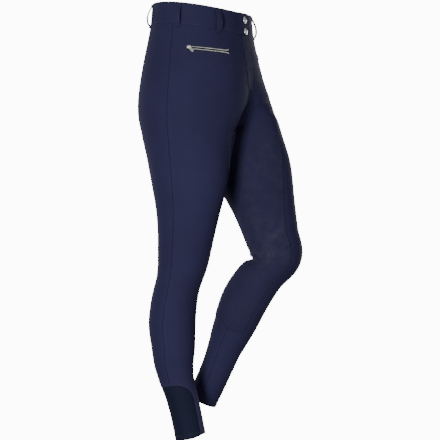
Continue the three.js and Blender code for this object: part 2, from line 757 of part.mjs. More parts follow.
// Tape, two rows of teeth, slider and pull of one pocket zip
function pocketZip(side) {
  const length = zipLength(side);
  const tapeTop = SEAM_GAP + ZIP.tapeCloth;
  const foot = tapeTop + SEAM_GAP;
  const sliderAt = (SLIDER.length / 2 + 1) / length;
  const teethFrom = (SLIDER.length + 1 + SEAM_GAP * 2) / length;
  const splay = (t) => ZIP.teethSplay * smooth((t - 0.9) / 0.1);
  const tape = zipStrip(side, 0, () => 0, ZIP.tapeWidth, SEAM_GAP, tapeTop);
  const parts = [sewn(`zip_tape_${side.name}`, tape, 'tape')];
  for (const [name, sign] of [['upper', 1], ['lower', -1]]) {
    const middleAt = (t) => sign * (ZIP.teethOffset + splay(t));
    const row = zipStrip(side, teethFrom, middleAt, ZIP.teethWidth, foot, foot + ZIP.teethHeight);
    parts.push(sewn(`zip_teeth_${name}_${side.name}`, row, 'metal'));
  }
  const origin = zipPoint(side, sliderAt, 0, foot + SEAM_GAP);
  const along = zipPoint(side, sliderAt + 0.05, 0, foot + SEAM_GAP).sub(origin);
  const out = zipPoint(side, sliderAt, 0, foot + SEAM_GAP + 4).sub(origin);
  const frame = frameAt(origin, along, out);
  const slider = sewn(`zip_slider_${side.name}`, sliderGeometry(), 'metal');
  slider.applyMatrix4(frame);
  parts.push(slider);
  const pull = sewn(`zip_pull_${side.name}`, pullGeometry(), 'metal');
  pull.rotation.z = THREE.MathUtils.degToRad(side.sign * PULL.hang);
  pull.position.z = SLIDER.height + SLIDER.gap / 2;
  pull.updateMatrix();
  pull.applyMatrix4(frame);
  parts.push(pull);
  return parts;
}

const breeches = new THREE.Group();
for (const side of SIDES) {
  for (const part of ['front', 'back']) {
    breeches.add(mainPanel(side, part));
  }
  breeches.add(anklePanel(side));
  breeches.add(innerPatch(side));
  for (const loop of LOOPS) {
    breeches.add(beltLoop(side, loop));
  }
  breeches.add(...pocketZip(side));
}
const [rightSide, leftSide] = SIDES;
breeches.add(waistband(rightSide, TAB, lapRise));
breeches.add(waistband(leftSide, UNDERLAP, () => 0));
breeches.add(flyFlap());
breeches.add(snap('snap_top', SNAP.rows[0]));
breeches.add(snap('snap_bottom', SNAP.rows[1]));

export default breeches;
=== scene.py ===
"""Looks of the riding breeches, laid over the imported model.

+Z is up, the wearer faces -Y and the wearer's right is -X. Sizes are in millimetres until
mesh_object, which makes the meshes, turns them into metres.
"""

import math

import bpy
import numpy as np
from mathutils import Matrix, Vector


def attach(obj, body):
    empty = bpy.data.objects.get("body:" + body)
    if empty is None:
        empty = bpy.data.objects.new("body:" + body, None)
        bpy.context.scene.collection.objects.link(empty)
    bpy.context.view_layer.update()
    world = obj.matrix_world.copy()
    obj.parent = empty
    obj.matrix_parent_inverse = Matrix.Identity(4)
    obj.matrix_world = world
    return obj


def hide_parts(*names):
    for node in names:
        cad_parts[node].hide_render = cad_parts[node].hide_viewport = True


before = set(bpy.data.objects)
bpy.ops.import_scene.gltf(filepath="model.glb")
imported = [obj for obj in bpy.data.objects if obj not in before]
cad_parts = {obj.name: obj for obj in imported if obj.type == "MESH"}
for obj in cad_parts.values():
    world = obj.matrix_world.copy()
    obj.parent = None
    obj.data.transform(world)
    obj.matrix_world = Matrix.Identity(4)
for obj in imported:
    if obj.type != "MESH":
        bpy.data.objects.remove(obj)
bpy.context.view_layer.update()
MM = 0.001
BODY = "breeches"

# Camera, from the photograph: level, turned to the wearer's right front
PHOTO_WIDTH = 440
VIEW_AZIMUTH = -63.0
VIEW_DISTANCE = 3700.0
MM_PER_PIXEL = 2.30
AIM_ACROSS = 41.0
AIM_HEIGHT = -462.0
SENSOR = 36.0

# Cloth thicknesses and the gap at seams
CLOTH = 1.6
BAND_CLOTH = 2.4
PATCH_CLOTH = 1.2
FLAP_CLOTH = 1.0
LOOP_CLOTH = 2.6
SEAM_GAP = 0.3
ALLOWANCE_CLOTH = 0.8
ALLOWANCE_GAP = 1.0
ALLOWANCE_HALF = 6.5
CROTCH_TAB_HALF = 8.0

# Section rows of the trunk, waistband's top edge to fork: z, side x y, front x y, back x y,
# front edge y z, back edge y z, turn
TRUNK = np.array([
    [25, 131, 2, 6, -107, 12, 104, -107, 25, 104, 25, 0.00],
    [-25, 137, 2, 6, -112, 12, 108, -112, -25, 108, -25, 0.00],
    [-75, 150, 0, 12, -120, 34, 110, -120, -75, 108, -75, 0.00],
    [-130, 163, -2, 26, -127, 54, 114, -126, -130, 109, -130, 0.00],
    [-190, 172, -3, 46, -128, 66, 117, -121, -189, 108, -191, 0.04],
    [-232, 175, -4, 62, -122, 73, 112, -98, -231, 92, -236, 0.14],
    [-256, 174, -5, 69, -116, 76, 105, -54, -256, 50, -258, 0.35],
    [-266, 174, -6, 72, -115, 78, 101, 0, -266, 0, -266, 0.70],
])
# Section rows of a leg, fork to hem: z, side x y, front x y, back x y, edge x y, turn
LEG = np.array([
    [-266, 174, -6, 72, -115, 78, 101, 0, 0, 0.70],
    [-285, 172, -8, 77, -113, 80, 96, 7, -5, 0.95],
    [-320, 167, -9, 81, -109, 82, 86, 12, -9, 1.00],
    [-380, 157, -10, 83, -104, 83, 73, 15, -10, 1.00],
    [-450, 143, -8, 82, -87, 82, 61, 19, -8, 1.00],
    [-520, 136, -3, 80, -70, 80, 57, 24, -3, 1.00],
    [-575, 132, 1, 79, -55, 79, 58, 26, 1, 1.00],
    [-625, 128, 10, 77, -38, 77, 67, 26, 10, 1.00],
    [-700, 127, 16, 76, -35, 76, 74, 25, 16, 1.00],
    [-770, 117, 9, 74, -39, 74, 59, 30, 9, 1.00],
    [-840, 106, 2, 71, -38, 71, 40, 34, 2, 1.00],
    [-900, 101, -3, 68, -39, 68, 33, 35, -3, 1.00],
    [-956, 101, -4, 67, -39, 67, 31, 34, -4, 1.00],
])
# Rows of the waist seam, the fork and the hem, and heights
WAIST = 1
FORK = len(TRUNK) - 1
HEM = FORK + len(LEG) - 1
FORK_Z = TRUNK[-1, 0]
HEM_Z = LEG[-1, 0]
# Share from which a part stays on its own side of the inseam
NEAR_INSEAM = 0.95
# The waist line falls in front and rises behind, less and less down to some rows below it
WAIST_SLOPE = 0.105
WAIST_BOW = 0.0006
WAIST_FADE_ROWS = 3
# Handle of a curve that turns a quarter round, and how much of it goes where the edge turns in
QUARTER_HANDLE = 0.56
TURN_LOSS = 0.6
# Table of rest points: steps between two section rows, and columns round
TABLE_STEPS = 50
TABLE_COLUMNS = 241

# Joint centres of the rest pose and how each leg is held, in degrees
HIP = {"y": 0, "z": -165, "from": -60, "to": -300}
KNEE = {"y": 2, "z": -582, "from": -532, "to": -632}
ANKLE = {"y": 4, "z": -815, "from": -740, "to": -860}
LEG_AXIS = (85, -5)
RIGHT = {"name": "right", "sign": -1, "hip": -1.3, "knee": 3, "ankle": -16, "lean": 0, "turn_out": 0}
LEFT = {"name": "left", "sign": 1, "hip": 21.3, "knee": 52.5, "ankle": -5, "lean": -1.5, "turn_out": 9}
SIDES = (RIGHT, LEFT)
MEAN_HIP = (RIGHT["hip"] + LEFT["hip"]) / 2
# How far from the fork, across and down, a leg moves fully on its own, and the heights between
# which its turn and its lean grow
OWN_ACROSS = 70
OWN_DOWN = 110
TURN_SPAN = (-230, -460)
LEAN_SPAN = (-150, -350)

# Creases: side or both, part, height, share round, half length round, half width down, slant, depth.
# A negative depth is a ridge.
CREASES = [
    ("left", "front", -232, 0.74, 0.18, 17, -40, 2.2),
    ("left", "front", -212, 0.66, 0.16, 13, -60, -0.9),
    ("left", "front", -208, 0.50, 0.14, 10, -90, 0.8),
    ("right", "front", -236, 0.80, 0.14, 12, -30, 0.9),
    ("both", "front", -150, 0.55, 0.20, 9, 120, 0.5),
    ("left", "back", -566, 0.70, 0.36, 17, 4, -6.0),
    ("left", "back", -606, 0.70, 0.36, 16, 4, 4.5),
    ("left", "back", -560, 0.66, 0.28, 9, -26, -0.8),
    ("left", "back", -610, 0.62, 0.30, 9, 30, -0.8),
    ("left", "back", -628, 0.60, 0.26, 8, 34, 0.9),
    ("left", "back", -544, 0.70, 0.24, 8, -30, 0.8),
    ("left", "front", -596, 0.92, 0.16, 9, -30, 0.9),
    ("left", "front", -574, 0.94, 0.14, 8, -20, 0.8),
    ("right", "back", -592, 0.55, 0.30, 18, 16, 1.8),
    ("right", "back", -566, 0.60, 0.26, 8, -20, 0.6),
    ("right", "back", -618, 0.58, 0.26, 9, 24, 0.7),
    ("right", "front", -606, 0.30, 0.24, 9, 30, 0.5),
    ("both", "back", -272, 0.80, 0.22, 12, 60, 1.1),
    ("both", "back", -296, 0.72, 0.22, 11, 70, 0.7),
    ("both", "front", -822, 0.50, 0.30, 7, 12, 0.7),
    ("both", "front", -806, 0.62, 0.26, 6, -14, -0.4),
    ("both", "back", -816, 0.50, 0.30, 7, -16, 0.8),
    ("both", "back", -846, 0.78, 0.20, 7, 10, 0.5),
    ("both", "front", -858, 0.80, 0.20, 7, -10, 0.5),
]

# Long soft undulations of the hanging cloth: side or both, part, share round, half width, slant per
# millimetre down, top, bottom, depth
DRAPES = [
    ("both", "back", 0.30, 0.07, 0.00030, -300, -520, 0.7),
    ("both", "back", 0.62, 0.08, -0.00020, -310, -540, -0.6),
    ("both", "front", 0.34, 0.07, -0.00020, -260, -500, 0.6),
    ("both", "front", 0.16, 0.06, 0.00010, -640, -800, 0.5),
    ("both", "back", 0.40, 0.08, 0.00020, -650, -800, 0.6),
]
DRAPE_FADE = 30

# Ankle panel's arched seam
ARCH_TOP = -838
ARCH_DROP = 34
ARCH_SHARE = {"front": 0.40, "back": 0.62}
ARCH_POWER = {"front": 2, "back": 3}

# The stretched hem hangs a little lower on the outside of the ankle, and its turning is a low step
HEM_SAG = 6.0
HEM_SAG_TOP = -900.0
HEM_STEP = 0.35
HEM_TURNING = 13

# Side seam's allowance on the front panel, by the distance from the seam
RIDGE_HEIGHT = 0.45
RIDGE_START = 1.5
RIDGE_END = 9

# Inner-leg grip patch: the share its front edge follows, its top row from outer edge to inseam in
# front and from inseam to outer edge behind, how its grid's rows keep pace with the way down, and
# its rough size, for distances from its edge
EDGE_LINE = {"hip": 0.5, "hip_row": 4, "fork": 0.49, "knee": 0.74, "knee_row": 13}
PATCH_TOP_FRONT = (6.55, 6.65, 6.95, 7.3, 7.75)
PATCH_TOP_BACK = (7.75, 7.8, 7.84, 7.86, 7.86)
PATCH_LAST_ROW = 16
PATCH_CORNER = 0.25
PATCH_TOP_RISE = 0.5
PATCH_BACK_EDGE = 0.5
PATCH_PACE = ((0, 1.5 / 9.5, 1), (0, 0.16, 1))
PATCH_WIDTH = 88
PATCH_LENGTH = 760
PATCH_TOP_LENGTH = 1500

# Waistband: height, groove in from its edges, ends past the front middle, and the right end's lap
BAND_HEIGHT = 50
BAND_INSET = 3.4
TAB = 20
UNDERLAP = 15
LAP_FLAT = 19
LAP_RAMP = 27
LAP_RISE = BAND_CLOTH + SEAM_GAP
# Snaps
SNAP_ROWS = {"snap_top": 0.32, "snap_bottom": 0.83}
SNAP_DISTANCE = 6
SNAP_RADIUS = 7.5
SNAP_HEIGHT = 4.2
# Fly: distances of its sides, rows of its ends, its corner and its stitches' bow in rows, and
# millimetres down its side and down a row
FLY_LEFT = -6
FLY_RIGHT = 20
FLY_START = WAIST + 0.012
FLY_END = 3.87
FLY_CORNER = 0.324
FLY_LENGTH = 155
FLY_BOW_ROWS = 0.62
FLY_ROW_HEIGHT = 62
# Belt loops: width, rows and heights along them, places across them, and where each one sits
LOOP_WIDTH = 12
LOOP_ROWS = (0.05, 0.13, 0.26, 0.45, 0.68, 0.86, 0.97, 1.04, 1.12)
LOOP_LIFTS = (0.3, 0.3, 3.4, 6.6, 8.2, 6.9, 4.2, 0.3, 0.3)
LOOP_COLUMNS = np.array([-1, -0.94, -0.84, -0.6, -0.3, 0, 0.3, 0.6, 0.84, 0.94, 1])[None, :]
LOOPS = {"front": ("front", 0.53), "side": ("front", 0.065), "back": ("back", 0.50)}
# Pocket zip: row and share of its ends, its tape, slider and teeth
ZIP_START = (2.05, 0.17)
ZIP_END = (1.98, 0.64)
ZIP_TAPE_WIDTH = 11
ZIP_TAPE_CLOTH = 0.6
ZIP_SLIDER_LENGTH = 10
TEETH_OFFSET = 2.6
TEETH_SPLAY = 1.5
TOOTH_PITCH = 1.7
TOOTH_LEAN = 0.18
TOOTH_SIZE = (0.62, 0.95, 1.2)
TOOTH_TAPER = 0.5

# Stitches
STITCH_PITCH = 3.3
STITCH_LENGTH = 2.5
STITCH_RADIUS = 0.30
STITCH_SUNK = 0.05


def natural_spline(values, at):
    """Natural cubic spline through rows of values at 0, 1, 2 and so on, read at the places at.

    The second derivatives solve the tridiagonal system m[i-1] + 4 m[i] + m[i+1] = 6 d2[i].
    """
    values = np.asarray(values, float)
    count = len(values)
    system = np.eye(count)
    right = np.zeros_like(values)
    inner = np.arange(1, count - 1)
    for step, weight in ((-1, 1), (0, 4), (1, 1)):
        system[inner, inner + step] = weight
    right[1:-1] = 6 * (values[2:] - 2 * values[1:-1] + values[:-2])
    bend = np.linalg.solve(system, right)
    i = np.clip(np.floor(at).astype(int), 0, count - 2)
    b = (np.asarray(at) - i)[..., None] if values.ndim > 1 else np.asarray(at) - i
    a = 1 - b
    return a * values[i] + b * values[i + 1] + ((a**3 - a) * bend[i] + (b**3 - b) * bend[i + 1]) / 6


def smooth(t):
    """0 below 0, 1 above 1 and 3 t^2 - 2 t^3 between."""
    t = np.clip(t, 0, 1)
    return t * t * (3 - 2 * t)


def bell(x, width):
    """1 at 0 and exp(-(x / width)^2) to both sides."""
    return np.exp(-((x / width) ** 2))


def grown(z, top, bottom):
    """0 above top, 1 below bottom and smooth between."""
    return smooth((top - z) / (top - bottom))


TABLE_ROWS = np.linspace(0, HEM, TABLE_STEPS * HEM + 1)
TABLE_SHARES = np.linspace(0, 1, TABLE_COLUMNS)


def body_rows(rows):
    """Side, front and back points of the sections at these rows, as z and x y pairs."""
    return natural_spline(np.vstack([TRUNK[:, :7], LEG[1:, :7]]), rows)


def rib_ends(part, rows):
    """Side point, extreme point and edge point of each rib and how far its end turns inwards."""
    body = body_rows(rows)
    first, edge = (3, 0) if part == "front" else (5, 2)
    trunk = natural_spline(TRUNK[:, 7:], np.minimum(rows, FORK))
    leg = natural_spline(LEG[:, 7:], np.maximum(rows - FORK, 0))
    above = np.column_stack([0 * rows, trunk[:, edge:edge + 2], trunk[:, 4]])
    below = np.column_stack([leg[:, :2], body[:, 0], leg[:, 2]])
    inner = np.where((rows > FORK)[:, None], below, above)
    return body[:, [1, 2, 0]], body[:, [first, first + 1, 0]], inner[:, :3], inner[:, 3:]


def bezier(a, b, c, d, t):
    """Cubic curve (1-t)^3 a + 3 t (1-t)^2 b + 3 t^2 (1-t) c + t^3 d for rows of control points."""
    a, b, c, d = (p[:, None, :] for p in (a, b, c, d))
    t = t[None, :, None]
    return (1 - t) ** 3 * a + 3 * t * (1 - t) ** 2 * b + 3 * t * t * (1 - t) * c + t**3 * d


def rib_table(part):
    """Rest points on a fine grid of rows and shares, and the length of each rib.

    A rib is two cubic curves, side seam to extreme point and on to the inner edge, laid out by its
    own length. The last handle turns inwards with the edge.
    """
    side, extreme, edge, turn = rib_ends(part, TABLE_ROWS)
    across, along, _ = np.eye(3)
    out = (extreme - side)[:, 1:2]
    t = np.linspace(0, 1, 65)
    outer = bezier(side, side + QUARTER_HANDLE * out * along,
                   extreme + QUARTER_HANDLE * (side - extreme)[:, :1] * across, extreme, t)
    angle = turn * math.pi / 2
    arrive = -np.cos(angle) * across - np.sign(out) * np.sin(angle) * along
    away = (extreme - edge)[:, :1]
    reach = away * np.cos(angle) * (1 - TURN_LOSS * turn) + np.abs(extreme - edge)[:, 1:2] * np.sin(angle)
    inner = bezier(extreme, extreme - QUARTER_HANDLE * away * across,
                   edge - QUARTER_HANDLE * reach * arrive, edge, t)
    curve = np.concatenate([outer, inner[:, 1:]], 1)
    steps = np.linalg.norm(np.diff(curve, axis=1), axis=2)
    run = np.concatenate([np.zeros((len(curve), 1)), np.cumsum(steps, 1)], 1)
    length = run[:, -1]
    table = np.stack([
        np.stack([np.interp(TABLE_SHARES * total, at, line[:, k]) for k in range(3)], -1)
        for line, at, total in zip(curve, run, length)
    ])
    fade = (1 - smooth((TABLE_ROWS - WAIST) / WAIST_FADE_ROWS))[:, None]
    y = table[..., 1]
    table[..., 2] += fade * (WAIST_SLOPE * y - WAIST_BOW * y * y)
    return table, length


REST = {part: rib_table(part) for part in ("front", "back")}
ROW_HEIGHTS = body_rows(TABLE_ROWS)[:, 0]


def row_height(row):
    return np.interp(row, TABLE_ROWS, ROW_HEIGHTS)


def row_at(height):
    return np.interp(-np.asarray(height, float), -ROW_HEIGHTS, TABLE_ROWS)


def rib_length(part, row):
    return np.interp(row, TABLE_ROWS, REST[part][1])


def rest_point(part, row, share):
    """Rest point at a row and share, from the four table points round it."""
    table = REST[part][0]
    r = np.clip(row, 0, HEM) * TABLE_STEPS
    s = np.clip(share, 0, 1) * (len(TABLE_SHARES) - 1)
    i = np.minimum(r.astype(int), len(table) - 2)
    j = np.minimum(s.astype(int), len(TABLE_SHARES) - 2)
    a, b = (r - i)[..., None], (s - j)[..., None]
    top = table[i, j] * (1 - b) + table[i, j + 1] * b
    low = table[i + 1, j] * (1 - b) + table[i + 1, j + 1] * b
    return top * (1 - a) + low * a


def rest_normal(part, row, share):
    """Outward normal: the cross product of a step round and a step down."""
    down = rest_point(part, row + 0.2, share) - rest_point(part, row - 0.2, share)
    round_ = rest_point(part, row, share + 0.03) - rest_point(part, row, share - 0.03)
    normal = np.cross(round_, down)
    normal /= np.linalg.norm(normal, axis=-1, keepdims=True)
    return normal if part == "front" else -normal


def crease_depth(side, part, row, share):
    """Sum of soft troughs and ridges: each is its depth times exp(-round^2 - down^2)."""
    depth = np.zeros(np.broadcast(row, share).shape)
    z = row_height(row)
    for who, where, height, at, half_round, half_down, slant, deep in CREASES:
        if who in ("both", side["name"]) and where == part:
            round_ = (share - at) / half_round
            down = (z - height - slant * (share - at)) / half_down
            depth = depth + deep * np.exp(-(round_**2) - down**2)
    for who, where, at, half, slant, top, bottom, deep in DRAPES:
        if who in ("both", side["name"]) and where == part:
            middle = at + slant * (top - z)
            start, stop = (grown(z, end + DRAPE_FADE, end - DRAPE_FADE) for end in (top, bottom))
            depth = depth + deep * start * (1 - stop) * bell(share - middle, half)
    return depth


def turn_about(point, axes, centre, angle):
    """Turns two coordinates of the points about a centre, each point by its own angle."""
    a, b = (point[..., axis] - at for axis, at in zip(axes, centre))
    point[..., axes[0]] = centre[0] + a * np.cos(angle) - b * np.sin(angle)
    point[..., axes[1]] = centre[1] + a * np.sin(angle) + b * np.cos(angle)


def bend_at(point, joint, degrees, z):
    """Turns points about the X axis through a joint, by an angle that grows between two heights."""
    angle = np.radians(degrees) * grown(z, joint["from"], joint["to"])
    turn_about(point, (1, 2), (joint["y"], joint["z"]), angle)


def pose(rest, side):
    """Rest points of one half moved to where the worn leg has them."""
    x0, z0 = rest[..., 0], rest[..., 2]
    point = rest.copy()
    bend_at(point, ANKLE, side["ankle"], z0)
    bend_at(point, KNEE, side["knee"], point[..., 2])
    own = 1 - (1 - smooth(x0 / OWN_ACROSS)) * (1 - smooth((FORK_Z - z0) / OWN_DOWN))
    turn_about(point, (0, 1), LEG_AXIS, np.radians(side["turn_out"]) * grown(z0, *TURN_SPAN) * own)
    bend_at(point, HIP, -(MEAN_HIP + (side["hip"] - MEAN_HIP) * own), z0)
    lean = np.radians(side["lean"]) * grown(z0, *LEAN_SPAN) * own
    turn_about(point, (0, 2), (LEG_AXIS[0], HIP["z"]), -lean)
    point[..., 0] *= side["sign"]
    return point


def worn(side, part, row, share, lift=0.0):
    """Points of the worn form, moved out by lift and in by the creases.

    Neither half passes the middle plane and, near the inseam, neither part passes the seam.
    """
    row, share, lift = np.broadcast_arrays(np.asarray(row, float), share, lift)
    rest = rest_point(part, row, share)
    height = lift - crease_depth(side, part, row, share)
    rest = rest + rest_normal(part, row, share) * height[..., None]
    rest[..., 0] = np.maximum(rest[..., 0], 0) + SEAM_GAP / 2
    near = (row > FORK - 1) & (share > NEAR_INSEAM)
    seam = np.where(row > FORK, natural_spline(LEG[:, 8], np.maximum(row - FORK, 0)), 0)
    if part == "front":
        kept = np.minimum(rest[..., 1], seam - SEAM_GAP / 2)
    else:
        kept = np.maximum(rest[..., 1], seam + SEAM_GAP / 2)
    rest[..., 1] = np.where(near, kept, rest[..., 1])
    outer = smooth((rest[..., 0] - LEG[-1, 3]) / (LEG[-1, 1] - LEG[-1, 3]))
    rest[..., 2] -= HEM_SAG * outer * grown(rest[..., 2], HEM_SAG_TOP, HEM_Z)
    return pose(rest, side)


def edge_share(row):
    """Share at which the grip patch's front edge runs."""
    line = EDGE_LINE
    to_fork = smooth((row - line["hip_row"]) / (FORK - line["hip_row"]))
    to_knee = smooth((row - FORK) / (line["knee_row"] - FORK))
    above = line["hip"] + (line["fork"] - line["hip"]) * to_fork
    below = line["fork"] + (line["knee"] - line["fork"]) * to_knee
    return np.where(row < FORK, above, below)


def seam_trim(part, row):
    return SEAM_GAP / 2 / rib_length(part, row)


def waist_share(part, row, distance):
    """Share at a distance from the front middle, counted on the front or on towards the back."""
    front = rib_length("front", row)
    if part == "front":
        return 1 - np.abs(distance) / front
    return (distance - front) / rib_length("back", row)


def waist_point(side, row, distance, lift):
    """Point of the waist at a distance from the front middle, negative on the other side."""
    row, distance, lift = np.broadcast_arrays(np.asarray(row, float), distance, lift)
    other = RIGHT if side is LEFT else LEFT
    here, there, behind = (
        worn(half, part, row, np.clip(waist_share(part, row, distance), 0, 1), lift)
        for half, part in ((side, "front"), (other, "front"), (side, "back")))
    on_back = (distance > rib_length("front", row))[..., None]
    return np.where((distance >= 0)[..., None], np.where(on_back, behind, here), there)


def run_length(points, axis):
    """Distance along a grid's rows or columns, from its first line."""
    steps = np.linalg.norm(np.diff(points, axis=axis), axis=2)
    start = np.zeros_like(steps[:1] if axis == 0 else steps[:, :1])
    return np.concatenate([start, np.cumsum(steps, axis)], axis)


def dress(obj, material, body=BODY, nodes=()):
    """Gives a piece its material, hangs it under its body and hides the nodes it stands for."""
    obj.data.materials.clear()
    obj.data.materials.append(material)
    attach(obj, body)
    if nodes:
        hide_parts(*nodes)


def mesh_object(name, points, faces):
    """A smooth mesh from points in millimetres and rows of vertex numbers."""
    mesh = bpy.data.meshes.new(name)
    mesh.from_pydata((points * MM).tolist(), [], faces)
    mesh.polygons.foreach_set("use_smooth", np.ones(len(mesh.polygons), bool))
    mesh.update()
    obj = bpy.data.objects.new(name, mesh)
    bpy.context.collection.objects.link(obj)
    return obj


def grid_faces(rows, columns, flip):
    """Four-sided faces of a grid, turned over where flip is set."""
    i, j = np.meshgrid(np.arange(rows - 1), np.arange(columns - 1), indexing="ij")
    a = (i * columns + j).ravel()
    square = np.stack([a, a + columns, a + columns + 1, a + 1], -1)
    return square[:, ::-1] if flip else square


def tube_faces(rings, turns):
    """Four-sided faces between rings of turns points each."""
    i, k = np.meshgrid(np.arange(rings - 1), np.arange(turns), indexing="ij")
    a = (i * turns + k).ravel()
    b = (i * turns + (k + 1) % turns).ravel()
    return np.stack([a, b, b + turns, a + turns], -1)


def with_outside(at):
    """Points for no lift, and the same points 1 mm further out."""
    return at(0.0), at(1.0)


def cloth_piece(name, at, material, thickness, wear_and_highlight=0.0, nodes=()):
    """A cloth panel: a grid of points on its outer face, thickened inwards.

    at gives the grid for a lift. The lifted grid tells which way the faces look. The UV map is the
    distance round and down in metres, and the argument after the thickness tells how much lighter
    each point is painted, 0 to 1: wear along edges, and a painted highlight on the grip patch.
    """
    points, outside = with_outside(at)
    rows, columns = points.shape[:2]
    i, j = rows // 2, columns // 2
    across = np.cross(points[i + 1, j] - points[i, j], points[i, j + 1] - points[i, j])
    faces = grid_faces(rows, columns, np.dot(across, outside[i, j] - points[i, j]) < 0)
    obj = mesh_object(name, points.reshape(-1, 3), faces.tolist())
    mesh = obj.data
    corner = np.zeros(len(mesh.loops), int)
    mesh.loops.foreach_get("vertex_index", corner)
    round_, down = run_length(points, 1), run_length(points, 0)
    uv = np.stack([round_ - round_[:, columns // 2][:, None], -down], -1).reshape(-1, 2) * MM
    mesh.uv_layers.new(name="cloth").data.foreach_set("uv", uv[corner].ravel())
    values = np.broadcast_to(wear_and_highlight, (rows, columns)).astype(np.float32).ravel()
    mesh.attributes.new("wear_and_highlight", "FLOAT", "POINT").data.foreach_set("value", values)
    wall = obj.modifiers.new("Cloth thickness", "SOLIDIFY")
    wall.thickness = thickness * MM
    wall.offset = -1
    wall.use_even_offset = False
    dress(obj, material, nodes=nodes)
    declare_cut(points)


def declare_cut(points):
    """Measures the piece's greatest width and length along its rows and columns; nothing uses them."""
    width = run_length(points, 1)[:, -1].max()
    length = run_length(points, 0)[-1].max()


def arch_curve(part, angle):
    """Arch of the ankle panel at angles from 0 at its top to pi / 2 at its foot: the share of its
    drop, 1 - cos(a)^(2/p), and the share round the leg, S sin(a)^(2/p)."""
    power = 2 / ARCH_POWER[part]
    return 1 - np.cos(angle) ** power, ARCH_SHARE[part] * np.sin(angle) ** power


def panel_rows(part):
    """Rows of a main panel, waist seam to hem, and the share at which each starts: at the side seam,
    then along the arch, then straight down from the arch's foot."""
    rows = row_at(np.arange(row_height(WAIST) - 0.2, ARCH_TOP, -4.5))
    rows = np.concatenate([[WAIST + 0.003], rows[rows < FORK - 1],
                           np.linspace(FORK - 1, FORK + 1, 23)[:-1], rows[rows >= FORK + 1]])
    step, share = arch_curve(part, np.linspace(0, math.pi / 2, 15))
    low = row_at(np.linspace(ARCH_TOP - ARCH_DROP, HEM_Z, 20)[1:])
    starts = np.concatenate([np.zeros(len(rows)), share, np.full(len(low), ARCH_SHARE[part])])
    return np.concatenate([rows, row_at(ARCH_TOP - step * ARCH_DROP), low]), starts


EDGE_COLUMNS = np.array([0, 0.006, 0.013, 0.022, 0.034, 0.050])
PANEL_COLUMNS = np.concatenate([EDGE_COLUMNS, np.linspace(0.07, 0.93, 38), 1 - EDGE_COLUMNS[::-1]])


def seam_roll(distance, depth=0.7, width=1.5):
    """How far cloth sinks towards a seam: depth times exp(-(distance / width)^2)."""
    return depth * bell(distance, width)


def hem_relief(gap, start=1.0):
    """The hem's turning, a low step with a rolled edge. gap is the height over the hem."""
    return HEM_STEP * start * smooth((HEM_TURNING - gap) / 1.5) - seam_roll(gap, 0.5, 1.0)


def main_panel(side, part, material):
    """Front or back panel of one half. Its edges sink into the seams, and the front carries the
    side seam's allowance as a low flat ridge."""
    row, start = (values[:, None] for values in panel_rows(part))
    trim = seam_trim(part, row)
    share = start + trim + (1 - 2 * trim - start) * PANEL_COLUMNS[None, :]
    from_start = (share - start) * rib_length(part, row)
    from_edge = (1 - share) * rib_length(part, row)
    hem_gap = row_height(row) - HEM_Z
    relief = hem_relief(hem_gap, smooth((hem_gap + 1) / 2)) - seam_roll(from_start) - seam_roll(from_edge)
    wear_and_highlight = 0.6 * bell(hem_gap, 3)
    if part == "front":
        ridge = smooth((from_start - RIDGE_START) / 1.5) * smooth((RIDGE_END - from_start) / 2)
        relief = relief + RIDGE_HEIGHT * ridge
        wear_and_highlight = wear_and_highlight + 0.5 * bell(from_start - 4, 3)
    cloth_piece(f"{part}_panel_{side['name']}", lambda lift: worn(side, part, row, share, relief + lift),
                material, CLOTH, np.clip(wear_and_highlight, 0, 1),
                [f"{part}_{side['name']}"])


def ankle_panel(side, material):
    """Stretch panel over the outside of the ankle: columns from the front arch round the side to the
    back arch, rows down from the arch to the hem."""
    angle = np.linspace(0, math.pi / 2, 22)
    down = np.concatenate([[0, 0.008, 0.02, 0.04], np.linspace(0.07, 1, 22)])[:, None]
    parts = []
    for part, angles in (("front", angle[::-1]), ("back", angle[1:])):
        step, share = arch_curve(part, angles)
        top = ARCH_TOP - step * ARCH_DROP - SEAM_GAP
        row = row_at(top + (HEM_Z - top) * down)
        length = rib_length(part, row)
        share = np.clip(share * (1 - SEAM_GAP / (ARCH_SHARE[part] * length)), 0, 1)
        edge = (ARCH_SHARE[part] - share) * length
        sink = np.maximum(seam_roll(edge) * (down > 0.02), seam_roll(down * (top - HEM_Z)))
        parts.append((part, row, share, hem_relief(row_height(row) - HEM_Z) - sink))

    def at(lift):
        return np.concatenate([worn(side, *place, relief + lift) for *place, relief in parts], 1)
    cloth_piece(f"ankle_stretch_{side['name']}", at, material, CLOTH,
                nodes=[f"ankle_panel_{side['name']}"])


def patch_point(side, part, across, down, lift):
    """Point of the grip patch: across is 0 at its outer edge and 1 at the inseam, down runs from 0 at
    its top to 1 at its bottom. It lies a little higher where four panels meet at the fork."""
    tops = PATCH_TOP_FRONT if part == "front" else PATCH_TOP_BACK[::-1]
    top = natural_spline(tops, (len(tops) - 1) * across)
    bottom = PATCH_LAST_ROW - PATCH_CORNER * (1 - across) ** 4
    row = top + (bottom - top) * np.interp(down, *PATCH_PACE)
    edge = edge_share(row) if part == "front" else PATCH_BACK_EDGE
    trim = seam_trim(part, row)
    share = trim + (1 - 2 * trim) * (edge + (1 - edge) * across)
    rise = PATCH_TOP_RISE * (1 - smooth((row - FORK) / 0.6))
    return worn(side, part, row, share, lift + rise)


